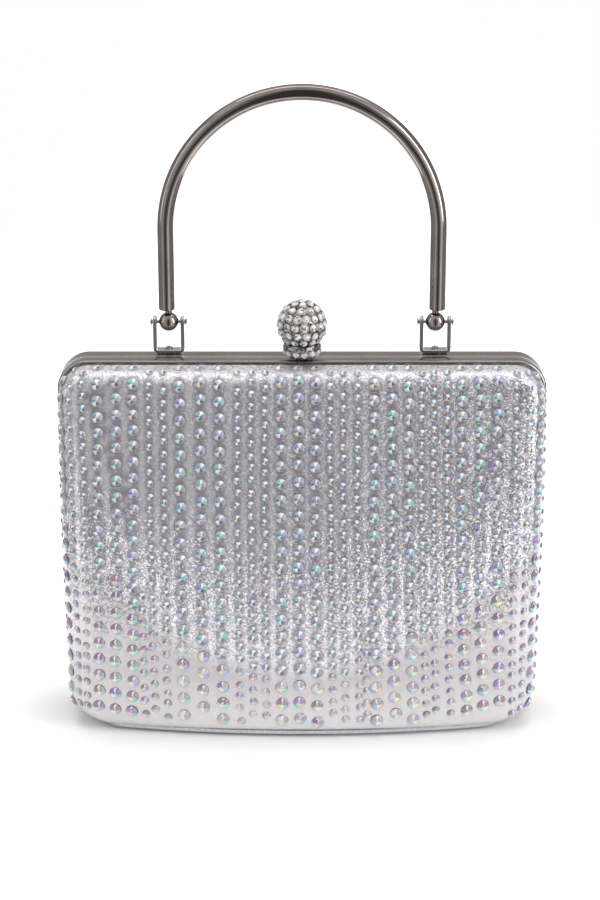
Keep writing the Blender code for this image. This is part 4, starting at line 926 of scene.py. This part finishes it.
largeStone, smallStone = [cutStone(kind + "Stone", stones[kind]["sides"], stones[kind]["cut"])
                          for kind in ("large", "small")]
for side, word in halves:
    seats = stoneSeats(side)
    paintStoneShade(bpy.data.objects[word + "Satin"], seats)
    for kind, stone in (("large", largeStone), ("small", smallStone)):
        name = word + kind.capitalize() + "Stones"
        piece = stonePiece(name, seats[kind], stone, auroraCrystal, stones["settingSeed"][side],
                           stones["spreads"], auroraFacets)
        dress(piece, auroraCrystal, word + "_half", slot="crystal")
        print(name, len(seats[kind]), "stones")


# The clasp ball: clear stones in rows over a cast setting, with a ring of them on the collar
pave = {"centre": (0, -3.675, 152.7), "cupRadius": 8.35, "cupEnd": -62, "cupInnerEnd": -58,
        "cupInnerShare": 0.955, "cupLipShare": 0.9, "cupLipRise": 0.3,
        "seatRadius": 8.45, "stoneRadius": 1.5, "pitch": 3.2, "rows": 8, "placeSeed": 5,
        # the seed of each setting, with the spreads of size, lean and spin
        "ballSetting": (9, (0.05, 0.08, 0.4)), "beadSetting": (4, (0.15, 0.3, 1.0)),
        "ringSetting": (12, (0.02, 0.04, 0.4)),
        "rowTurn": 0.1, "beadRadius": 0.42, "beadLift": 0.15, "beadSpread": 1.05,
        "collarRadius": 6.15, "collarMiddle": 142.75, "collarStones": 13, "collarLean": 30,
        "collarStoneShare": 0.92,
        # radius and height of the collar, which holds the ball like an egg cup
        "collar": [(1.9, 140.8), (4.7, 140.8), (5.1, 141.1), (7.05, 144.4), (7.1, 144.9), (6.7, 145.9),
                   (5.2, 146.0), (1.9, 145.2)]}


def paveSeats():
    seats, beads = [], []
    centre = Vector(pave["centre"])
    rise = pave["pitch"] / pave["seatRadius"]
    source = random.Random(pave["placeSeed"])
    for row in range(pave["rows"]):
        tilt = math.pi / 2 - rise * row
        level = math.cos(tilt)
        count = max(1, int(math.tau * pave["seatRadius"] * level / pave["pitch"]))
        for i in range(count):
            turn = math.tau * (i + (row % 2) / 2) / count + pave["rowTurn"]
            normal = Vector((level * math.cos(turn), level * math.sin(turn), math.sin(tilt)))
            right = Vector((-math.sin(turn), math.cos(turn), 0))
            seat = {"right": right, "up": normal.cross(right), "normal": normal}
            seats.append(dict(seat, place=centre + normal * pave["seatRadius"], size=pave["stoneRadius"],
                              seed=source.random()))
            for across, along in ((0.5, 0.5), (0.5, -0.5), (-0.5, 0.5)):   # beads at the stone's corners
                spot = (normal * pave["seatRadius"] + right * across * pave["pitch"] * pave["beadSpread"]
                        + seat["up"] * along * pave["pitch"]).normalized()
                beads.append(dict(seat, place=centre + spot * (pave["seatRadius"] + pave["beadLift"]),
                                  size=pave["beadRadius"]))
    return seats, beads


def collarSeats():
    seats = []
    lean = math.radians(pave["collarLean"])
    for i in range(pave["collarStones"]):
        turn = math.tau * i / pave["collarStones"]
        outwards = Vector((math.cos(turn), math.sin(turn), 0))
        normal = outwards * math.cos(lean) - Vector((0, 0, 1)) * math.sin(lean)
        right = Vector((-math.sin(turn), math.cos(turn), 0))
        place = Vector((0, pave["centre"][1], pave["collarMiddle"])) + outwards * pave["collarRadius"]
        seats.append({"place": place, "right": right, "up": normal.cross(right), "normal": normal,
                      "size": pave["stoneRadius"] * pave["collarStoneShare"], "seed": i / 7})
    return seats


# What the clear stones show, painted into each facet's colour: most facets white or pale, some dark,
# all painted reflections, with a ring of painted shade at the edge and the crown faded towards a
# painted see-through body colour
clear = {"bright": ["#FFFFFF", "#FFFFFF", "#F6F5F4", "#EBE9E8"], "mid": ["#D0CECC", "#BEBBB9", "#E0DEDC"],
         "dark": ["#5A5756", "#474443", "#84817F", "#8C8887"], "ring": "#6A6765", "bezel": "#E9E7E5",
         "body": "#BFBDBB", "kinds": ("bright", "bright", "mid", "mid", "dark"),
         "table": 0.3, "crown": 0.7, "crownFade": 0.55}


def clearFacets(seat, source):
    ring, bezel, body = [hexColour(clear[word]) for word in ("ring", "bezel", "body")]
    cut = [hexColour(source.choice(clear[source.choice(clear["kinds"])])) for i in range(14)]

    def colour(angle, out, rise):
        if out > facet["stoneSurround"]:
            return bezel
        # The ring at the stone's edge: painted shade
        if out > facet["rim"] or rise < facet["low"]:
            return ring
        sixth = int(angle // 60) % 6
        if out > clear["crown"]:
            return tuple(mix(cut[sixth][k], body[k], clear["crownFade"]) for k in range(4))
        return cut[6 + sixth] if out > clear["table"] else cut[12 + int(angle // 180) % 2]

    return colour


upright = math.pi / 2
cup = arcOutline(pave["cupRadius"], upright, math.radians(pave["cupEnd"]), 40)
inside = arcOutline(pave["cupRadius"] * pave["cupInnerShare"], upright, math.radians(pave["cupInnerEnd"]), 24)
cup += [(cup[-1][0] * pave["cupLipShare"], cup[-1][1] + pave["cupLipRise"])] + inside[::-1]
dress(turnedObject("paveCup", cup, pave["centre"], steps=72), setting, "clasp", slot="crystal")
seats, beads = paveSeats()
paveStones = stonePiece("paveStones", seats, smallStone, clearCrystal, *pave["ballSetting"], clearFacets)
dress(paveStones, clearCrystal, "clasp", "clasp_stones", slot="crystal")
bead = cutStone("bead", 6, [(0.8, -0.6), (1.0, 0.0, 0.5), (0.7, 0.6)])
dress(stonePiece("paveBeads", beads, bead, setting, *pave["beadSetting"]), setting, "clasp", slot="crystal")
collar = turnedObject("paveCollar", pave["collar"] + pave["collar"][:1], (0, pave["centre"][1], 0), steps=64)
dress(collar, setting, "clasp", "clasp_collar", slot="nickel")
ringStones = stonePiece("collarRingStones", collarSeats(), smallStone, clearCrystal, *pave["ringSetting"],
                        clearFacets)
dress(ringStones, clearCrystal, "clasp", "collar_stones", slot="crystal")
for stone in (largeStone, smallStone, bead):
    bpy.data.objects.remove(stone)
print("clasp ball set")


# Frame strips: an angle of sheet brass bent round the rim, its edge towards the satin rolled over
frameStrip = {"seamGap": 0.15, "depth": 7.2, "flange": 1.0, "web": 0.9, "webHeight": 4.8, "roll": 1.2,
              "seamEdge": 0.25, "topRadius": 11, "bottomRadius": 12, "bottom": 3.2, "cornerSteps": 16,
              "stemRadius": 1.3, "stemGap": 0.35, "stemSwing": 0.5, "slotLow": 138, "slotHigh": 141,
              "rivetHole": 1.2, "holeHeight": 139.5, "holeReach": 1.5}
stripMiddle = (frameStrip["seamGap"] + frameStrip["depth"]) / 2
linkHalf = 48.6


def frameOutline(inset):   # x and height round the upright frame
    f = frameStrip
    top, bottom = body["height"] - inset, f["bottom"] + inset
    topRadius, bottomRadius = f["topRadius"] - inset, f["bottomRadius"] - inset
    heights = [bottom + bottomRadius * (1 - c) for share, s, c in quarterTurn(f["cornerSteps"])]
    heights += [mix(bottom + bottomRadius, top - topRadius, i / 20) for i in range(1, 20)]
    heights += [top - topRadius * (1 - s) for share, s, c in quarterTurn(f["cornerSteps"])]
    halfWidth = body["frameHalfWidth"] - inset
    right = [(rimHalfWidth(height, halfWidth, top, bottom, topRadius, bottomRadius), height)
             for height in heights]
    flat = [(mix(right[-1][0], -right[-1][0], i / 12), right[-1][1]) for i in range(1, 12)]
    return right + flat + [(-x, height) for x, height in reversed(right)]


def frameSection():   # inset from the outer side, and depth
    f = frameStrip
    edge, roll, inside = f["seamEdge"], f["roll"], f["depth"] - f["web"]
    points = [(f["flange"], f["seamGap"])]
    points += [(edge * (1 - s), f["seamGap"] + edge * (1 - c)) for share, s, c in quarterTurn(4)]
    points += [(roll * (1 - c), f["depth"] - roll * (1 - s)) for share, s, c in quarterTurn(8)]
    return points + [(f["webHeight"], f["depth"]), (f["webHeight"], inside), (f["flange"], inside)]


for side, word in halves:
    points, section = [], frameSection()
    for inset, depth in section:
        outline = frameOutline(inset)
        points += [(x, side * depth, z) for x, z in outline]
    strip = meshObject(word + "FrameStrip", points, ringFaces(len(section), len(outline), closed=True))
    facingOut(strip)
    f = frameStrip
    if side == front:   # the slot for the clasp's stem
        half = f["stemRadius"] + f["stemGap"]
        carve(strip, boxTool((-half, -stripMiddle - half - f["stemSwing"], f["slotLow"]),
                             (half, -stripMiddle + half, f["slotHigh"])))
    else:   # the holes for the rivets
        for sign in (-1, 1):
            place = (sign * linkHalf, stripMiddle, f["holeHeight"])
            carve(strip, roundTool(f["rivetHole"], -f["holeReach"], f["holeReach"], place))
    sharpen(strip, 35)
    dress(strip, stripNickel, word + "_half", word + "_frame", slot="nickel")
print("frame strips made")


# Base pads: a thin lacquered plate under each half on a foot set back from its edge, with a lip
# that covers the cut edge of the satin
pad = {"thickness": 1.7, "proud": 0.4, "inner": 4.5, "round": 0.3, "across": 130, "foot": 5.0, "clear": 1.2,
       "lipHeight": 2.6, "lipThickness": 0.35}
lip, back = pad["lipThickness"], pad["foot"] + 1
cut = pad["round"] * 0.3
padSection = [   # inset from the outer edge, and height
    (back, 0), (pad["foot"], 0), (pad["foot"], pad["clear"]), (pad["round"], pad["clear"]),
    (cut, pad["clear"] + cut), (0, pad["clear"] + pad["round"]), (0, pad["lipHeight"] - 0.1),
    (0.1, pad["lipHeight"]), (lip, pad["lipHeight"]), (lip, pad["thickness"]), (back, pad["thickness"])]
for side, word in halves:
    points = []
    for inset, height in padSection:
        section = levelSection(body["baseDepth"] + pad["proud"] - inset, 0, inset - pad["proud"])
        loop = [(x, depth) for x, depth in spaced(section, pad["across"])]
        loop = [(loop[0][0], pad["inner"])] + loop + [(loop[-1][0], pad["inner"])]
        points += [(x, side * depth, height) for x, depth in loop]
    faces = ringFaces(len(padSection), len(loop))
    faces += [tuple(range(len(loop))), tuple(range(len(points) - len(loop), len(points)))]
    plate = meshObject(word + "BasePlate", points, faces)
    facingOut(plate, 40)
    dress(plate, silverStrip, word + "_half", word + "_base_pad", slot="base_silver")


# The handle: brass tube drawn along a path by Geometry Nodes, its cut ends bored for the studs
handle = {"radius": 3.0, "bore": 1.6, "boreDepth": 5.8, "leg": 49.2, "endHeight": 156.4, "archHeight": 186.1,
          "chamfer": 0.25, "archSteps": 96, "sides": 40}


def tubeTree(name):
    tree, given = newTree(name, "Tube", {"Path": ("Geometry", None), "Tube radius": ("Float", 0.003),
                                         "Sides": ("Int", 32), "Finish": ("Material", None)})
    path = addNode(tree, "GeometryNodeMeshToCurve", {"Mesh": given["Path"]})
    ring = addNode(tree, "GeometryNodeCurvePrimitiveCircle", {"Resolution": given["Sides"],
                                                              "Radius": given["Tube radius"]})
    tube = addNode(tree, "GeometryNodeCurveToMesh", {"Curve": path, "Profile Curve": ring})
    soft = addNode(tree, "GeometryNodeSetShadeSmooth", {"Geometry": tube})
    return closeTree(tree, soft, given["Finish"])


h = handle
leg = [(h["leg"], h["endHeight"] + h["chamfer"]), (h["leg"], mix(h["endHeight"], h["archHeight"], 0.5))]
path = [(-x, z) for x, z in leg]
for i in range(h["archSteps"] + 1):
    turn = math.pi * (1 - i / h["archSteps"])
    path.append((h["leg"] * math.cos(turn), h["archHeight"] + h["leg"] * math.sin(turn)))
path += leg[::-1]
tube = grow(lineObject("handleTube", [(x, stripMiddle, z) for x, z in path]), tubeTree("bentTube"), {
    "Tube radius": h["radius"] * mm, "Sides": h["sides"], "Finish": nickel})
shape = bmesh.new()
shape.from_mesh(tube.data)
inwards = ((h["radius"] - h["chamfer"], -h["chamfer"]), (h["bore"], 0), (h["bore"], h["boreDepth"]))
for radius, rise in inwards:   # the chamfer, the cut end and the bore
    ends = bmesh.ops.extrude_edge_only(shape, edges=[edge for edge in shape.edges if edge.is_boundary])
    for point in (item for item in ends["geom"] if isinstance(item, bmesh.types.BMVert)):
        middle = Vector((math.copysign(h["leg"], point.co.x), stripMiddle)) * mm
        arm = (point.co.xy - middle).normalized() * radius * mm
        point.co = (middle.x + arm.x, middle.y + arm.y, point.co.z + rise * mm)
bmesh.ops.holes_fill(shape, edges=[edge for edge in shape.edges if edge.is_boundary], sides=0)
bmesh.ops.recalc_face_normals(shape, faces=shape.faces)
shape.to_mesh(tube.data)
shape.free()
sharpen(tube, 35)
dress(tube, nickel, "handle", "handle_tube", slot="nickel")


# Swivel links: a turned ball with a stud in the tube, on a pin through a bent strap
link = {"height": 151.9, "ballRadius": 3.6, "bore": 1.1, "studRadius": 1.3, "studLow": 2.6, "studTop": 161.9,
        "pinRadius": 0.75, "headHeight": 0.8, "headGap": 0.3, "strapWidth": 11.5, "strapDepth": 4.5,
        "sheet": 1.45, "bend": 1.3, "strapBottom": 140.3, "edge": 0.34, "rivetRadius": 0.9, "holeGap": 0.3,
        # radius of the pin's head, and how far below its top
        "pinHead": [(0.001, 0), (0.7, 0.06), (1.15, 0.22), (1.5, 0.5), (1.5, 0.8)],
        # radius of the rivet's head and height over the strap, and radius and height of its lower end
        "rivetHead": [(0.001, 0.8), (0.6, 0.74), (1.1, 0.5), (1.5, 0.1), (1.5, 0)],
        "rivetTail": [(0.9, 138.7), (1.5, 138.7), (1.5, 138.3), (0.001, 137.9)]}


def strapPath():   # x and height of the sheet's middle, from one ear round the base to the other
    l = link
    half = (l["strapWidth"] - l["sheet"]) / 2
    low = l["strapBottom"] + l["sheet"] / 2
    top = l["height"] + l["strapDepth"] / 2
    right = [(half, mix(top, l["height"], s)) for share, s, c in quarterTurn(10)]
    right += [(half, mix(l["height"], low + l["bend"], i / 6)) for i in range(1, 7)]
    right += [(half - l["bend"] * (1 - c), low + l["bend"] * (1 - s)) for share, s, c in quarterTurn(8, 1)]
    flat = [(mix(right[-1][0], -right[-1][0], i / 4), low) for i in range(1, 4)]
    return right + flat + [(-x, z) for x, z in reversed(right)]


def strapObject(name, x):   # the sheet along its path, its ears round and its edges broken
    l = link
    path = strapPath()
    half, edge = l["sheet"] / 2, l["edge"]
    points = []
    for i, (px, pz) in enumerate(path):
        before, after = path[max(i - 1, 0)], path[min(i + 1, len(path) - 1)]
        along = Vector((after[0] - before[0], after[1] - before[1])).normalized()
        above = max(pz - l["height"], 0)
        deep = math.sqrt(max((l["strapDepth"] / 2) ** 2 - above ** 2, 0.01))
        for across, thick in ((-deep + edge, -half), (-deep, -half + edge), (-deep, half - edge),
                              (-deep + edge, half), (deep - edge, half), (deep, half - edge),
                              (deep, -half + edge), (deep - edge, -half)):
            points.append((x + px - along.y * thick, stripMiddle + clamp(across, -deep, deep),
                           pz + along.x * thick))
    faces = ringFaces(len(path), 8) + [tuple(range(8)), tuple(range(len(points) - 8, len(points)))]
    strap = meshObject(name, points, faces)
    facingOut(strap)
    return strap


for word, sign in (("left", -1), ("right", 1)):
    l = link
    x = sign * linkHalf
    centre = (x, stripMiddle, l["height"])
    start = math.acos(l["bore"] / l["ballRadius"])
    arc = arcOutline(l["ballRadius"], start, -start, 24)
    ball = turnedObject(word + "LinkBall", arc + [arc[0]], centre, axis="X", steps=40)
    carve(ball, roundTool(l["studRadius"], l["studLow"], l["studTop"] - l["height"], centre), "UNION")
    sharpen(ball, 40)
    dress(ball, nickel, "handle", word + "_handle_ball", slot="nickel")
    reach = l["strapWidth"] / 2 + l["headGap"]
    head = [(r, reach + l["headHeight"] - drop) for r, drop in l["pinHead"]] + [(l["pinRadius"], reach)]
    outline = head + [(r, -q) for r, q in reversed(head)]
    pin = turnedObject(word + "LinkPin", outline, centre, axis="X", steps=28)
    dress(pin, linkNickel, "rear_half", word + "_handle_pin", slot="nickel")
    strap = strapObject(word + "LinkStrap", x)
    for ear in (-1, 1):
        place = (x + ear * (l["strapWidth"] - l["sheet"]) / 2, stripMiddle, l["height"])
        carve(strap, roundTool(l["pinRadius"] + l["holeGap"], -1, 1, place, axis="X"))
    place = (x, stripMiddle, l["strapBottom"] + l["sheet"] / 2)
    carve(strap, roundTool(l["rivetRadius"] + l["holeGap"], -1, 1, place))
    sharpen(strap, 35)
    dress(strap, linkNickel, "rear_half", word + "_link_strap", slot="nickel")
    low = l["strapBottom"] + l["sheet"] + l["headGap"]
    outline = [(r, low + rise) for r, rise in l["rivetHead"]] + [(l["rivetRadius"], low)] + l["rivetTail"]
    rivet = turnedObject(word + "LinkRivet", outline, (x, stripMiddle, 0), steps=28)
    dress(rivet, linkNickel, "rear_half", word + "_link_rivet", slot="steel")
print("handle and links made")


# Camera: straight in front, its lens and shift worked out from the picture's 900 pixels of height
view = {"tilt": 18.0, "distance": 0.8, "target": (0, 0, 0.10378), "sensor": 36, "lens": 2162 / 900 * 36,
        "shift": -2 / 900, "farthest": 20}
cameraData = bpy.data.cameras.new("camera")
camera = bpy.data.objects.new("camera", cameraData)
bpy.context.scene.collection.objects.link(camera)
tilt = math.radians(view["tilt"])
camera.location = Vector(view["target"]) + Vector((0, -math.cos(tilt), math.sin(tilt))) * view["distance"]
camera.rotation_euler = (math.pi / 2 - tilt, 0, 0)
cameraData.sensor_width = view["sensor"]
cameraData.lens = view["lens"]
cameraData.shift_x = view["shift"]
cameraData.clip_end = view["farthest"]
bpy.context.scene.camera = camera


def rayKinds(tree, *kinds):   # 1 for a ray of one of these kinds
    rays = addNode(tree, "ShaderNodeLightPath")
    seen = rays.outputs[kinds[0]]
    for kind in kinds[1:]:
        seen = addNode(tree, "ShaderNodeMath", {0: seen, 1: rays.outputs[kind]}, operation="MAXIMUM")
    return seen


# A white paper table that ends just before the view does. Further away than the shadow falls,
# it shows as plain white.
table = {"halfWidth": 230, "front": -156, "back": 2500, "colour": "#F8F8F8", "fadeFrom": 90, "fadeTo": 215}
wide, near, far = table["halfWidth"], table["front"], table["back"]
corners = [(-wide, near, 0), (wide, near, 0), (wide, far, 0), (-wide, far, 0)]
floor = meshObject("floor", corners, [(0, 1, 2, 3)], smooth=False)
floorMaterial, tree, shader = newMaterial("whitePaper", table["colour"], 0.9, Specular_IOR_Level=0.0)
seen = rayKinds(tree, "Is Camera Ray", "Is Glossy Ray", "Is Transmission Ray")
place = addNode(tree, "ShaderNodeTexCoord").outputs["Object"]
away = addNode(tree, "ShaderNodeVectorMath", {0: place}, operation="LENGTH").outputs["Value"]
fade = addNode(tree, "ShaderNodeMapRange", {
    "Value": away, "From Min": table["fadeFrom"] * mm, "From Max": table["fadeTo"] * mm},
    interpolation_type="SMOOTHSTEP")
level = addNode(tree, "ShaderNodeMath", {0: seen, 1: fade}, operation="MULTIPLY")
glow = addNode(tree, "ShaderNodeEmission", {"Strength": level, "Color": (1, 1, 1, 1)})
total = addNode(tree, "ShaderNodeAddShader", {0: shader, 1: glow})
plug(tree.nodes["Material Output"], {"Surface": total})
floor.data.materials.append(floorMaterial)


def areaLamp(name, place, size, power, mirrored=True):   # aimed at the clutch
    data = bpy.data.lights.new(name, "AREA")
    data.shape = "RECTANGLE"
    data.size, data.size_y = size
    data.energy = power
    lamp = bpy.data.objects.new(name, data)
    bpy.context.scene.collection.objects.link(lamp)
    lamp.location = place
    lamp.rotation_euler = (Vector((0, 0, 0.1)) - Vector(place)).to_track_quat("-Z", "Y").to_euler()
    lamp.visible_glossy = mirrored


# The wide lamp above isn't mirrored, so that only the narrow one gleams along the frame
areaLamp("topLamp", (0.0, 0.15, 1.2), (1.3, 1.0), 9.1, mirrored=False)
areaLamp("stripLamp", (0.0, 0.12, 1.15), (1.2, 0.15), 1.5)
areaLamp("leftLamp", (-0.95, -0.35, 0.45), (0.35, 0.9), 1.2)
areaLamp("rightLamp", (0.85, -0.45, 0.45), (0.3, 0.9), 4.0)

# The room: a dark strip behind the camera with a bright panel on each side of it, pale walls at
# both sides, a pale wall behind the clutch and a pale ceiling. Each panel has its bearing from the
# camera's side, its half width, its lowest and highest elevation, all in degrees, and its level.
room = {"level": 0.33, "edge": 7, "behind": 135, "behindTop": 10,
        "panels": [(0, 6, -60, 60, -0.24), (-80, 25, -60, 50, 0.12), (80, 25, -60, 50, 0.08),
                   (40, 9, -60, 40, 0.85), (-40, 8, -60, 40, 0.45), (180, 60, 0, 35, 0.1),
                   (0, 180, 45, 90, 0.42)]}
world = bpy.data.worlds.new("studio")
bpy.context.scene.world = world
world.use_nodes = True
tree = world.node_tree
tree.nodes.clear()
place = addNode(tree, "ShaderNodeTexCoord").outputs["Generated"]
parts = addNode(tree, "ShaderNodeSeparateXYZ", {"Vector": place}).outputs
towards = addNode(tree, "ShaderNodeMath", {0: parts["Y"], 1: -1.0}, operation="MULTIPLY")
bearing = addNode(tree, "ShaderNodeMath", {0: parts["X"], 1: towards}, operation="ARCTAN2")
rise = addNode(tree, "ShaderNodeMath", {0: parts["Z"]}, operation="ARCSINE")


def zone(level, edges):   # a level inside soft edges: each a source, where it starts and where it is full
    for source, start, full in edges:
        soft = addNode(tree, "ShaderNodeMapRange", {"Value": source, "From Min": math.radians(start),
                                                    "From Max": math.radians(full)},
                       interpolation_type="SMOOTHSTEP")
        level = addNode(tree, "ShaderNodeMath", {0: level, 1: soft}, operation="MULTIPLY")
    return level


total = room["level"]
for middle, half, low, high, level in room["panels"]:
    turned = addNode(tree, "ShaderNodeMath", {0: bearing, 1: math.radians(middle)}, operation="SUBTRACT")
    wrapped = addNode(tree, "ShaderNodeMath", {0: turned, 1: math.pi, 2: -math.pi}, operation="WRAP")
    away = addNode(tree, "ShaderNodeMath", {0: wrapped}, operation="ABSOLUTE")
    edges = [(rise, low - room["edge"], low), (rise, high + room["edge"], high)]
    if half < 180:
        edges.append((away, half + room["edge"], half))
    total = addNode(tree, "ShaderNodeMath", {0: zone(level, edges), 1: total}, operation="ADD")
# The background is white to the camera. Metal and glass show it too, behind the clutch.
spread = addNode(tree, "ShaderNodeMath", {0: bearing}, operation="ABSOLUTE")
behind = zone(1.0, [(spread, room["behind"] - room["edge"], room["behind"]), (rise, room["behindTop"], 0)])
mirrored = rayKinds(tree, "Is Glossy Ray", "Is Transmission Ray")
mirrored = addNode(tree, "ShaderNodeMath", {0: mirrored, 1: behind}, operation="MULTIPLY")
seen = addNode(tree, "ShaderNodeMath", {0: rayKinds(tree, "Is Camera Ray"), 1: mirrored}, operation="MAXIMUM")
level = addNode(tree, "ShaderNodeMix", {0: seen, 2: total, 3: 1.0}, data_type="FLOAT")
studio = addNode(tree, "ShaderNodeBackground", {"Strength": level, "Color": (1, 1, 1, 1)})
addNode(tree, "ShaderNodeOutputWorld", {"Surface": studio})
bpy.context.scene.view_settings.view_transform = "Standard"
print("camera and light set")


# CAD nodes that keep their own shape
hinges = [word + "_hinge_" + part
          for word in ("left", "right") for part in ("front_leaf", "rear_leaf", "pin")]
kept = {steel: ["clasp_lever", "clasp_bracket", "clasp_pin", "clasp_spring", "clasp_strike"] + hinges,
        boardPlastic: ["front_shell", "rear_shell"], setting: ["clasp_ball"]}
for material, names in kept.items():
    for name in names:
        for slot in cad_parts[name].material_slots:
            slot.material = material

print("pieces dressed")
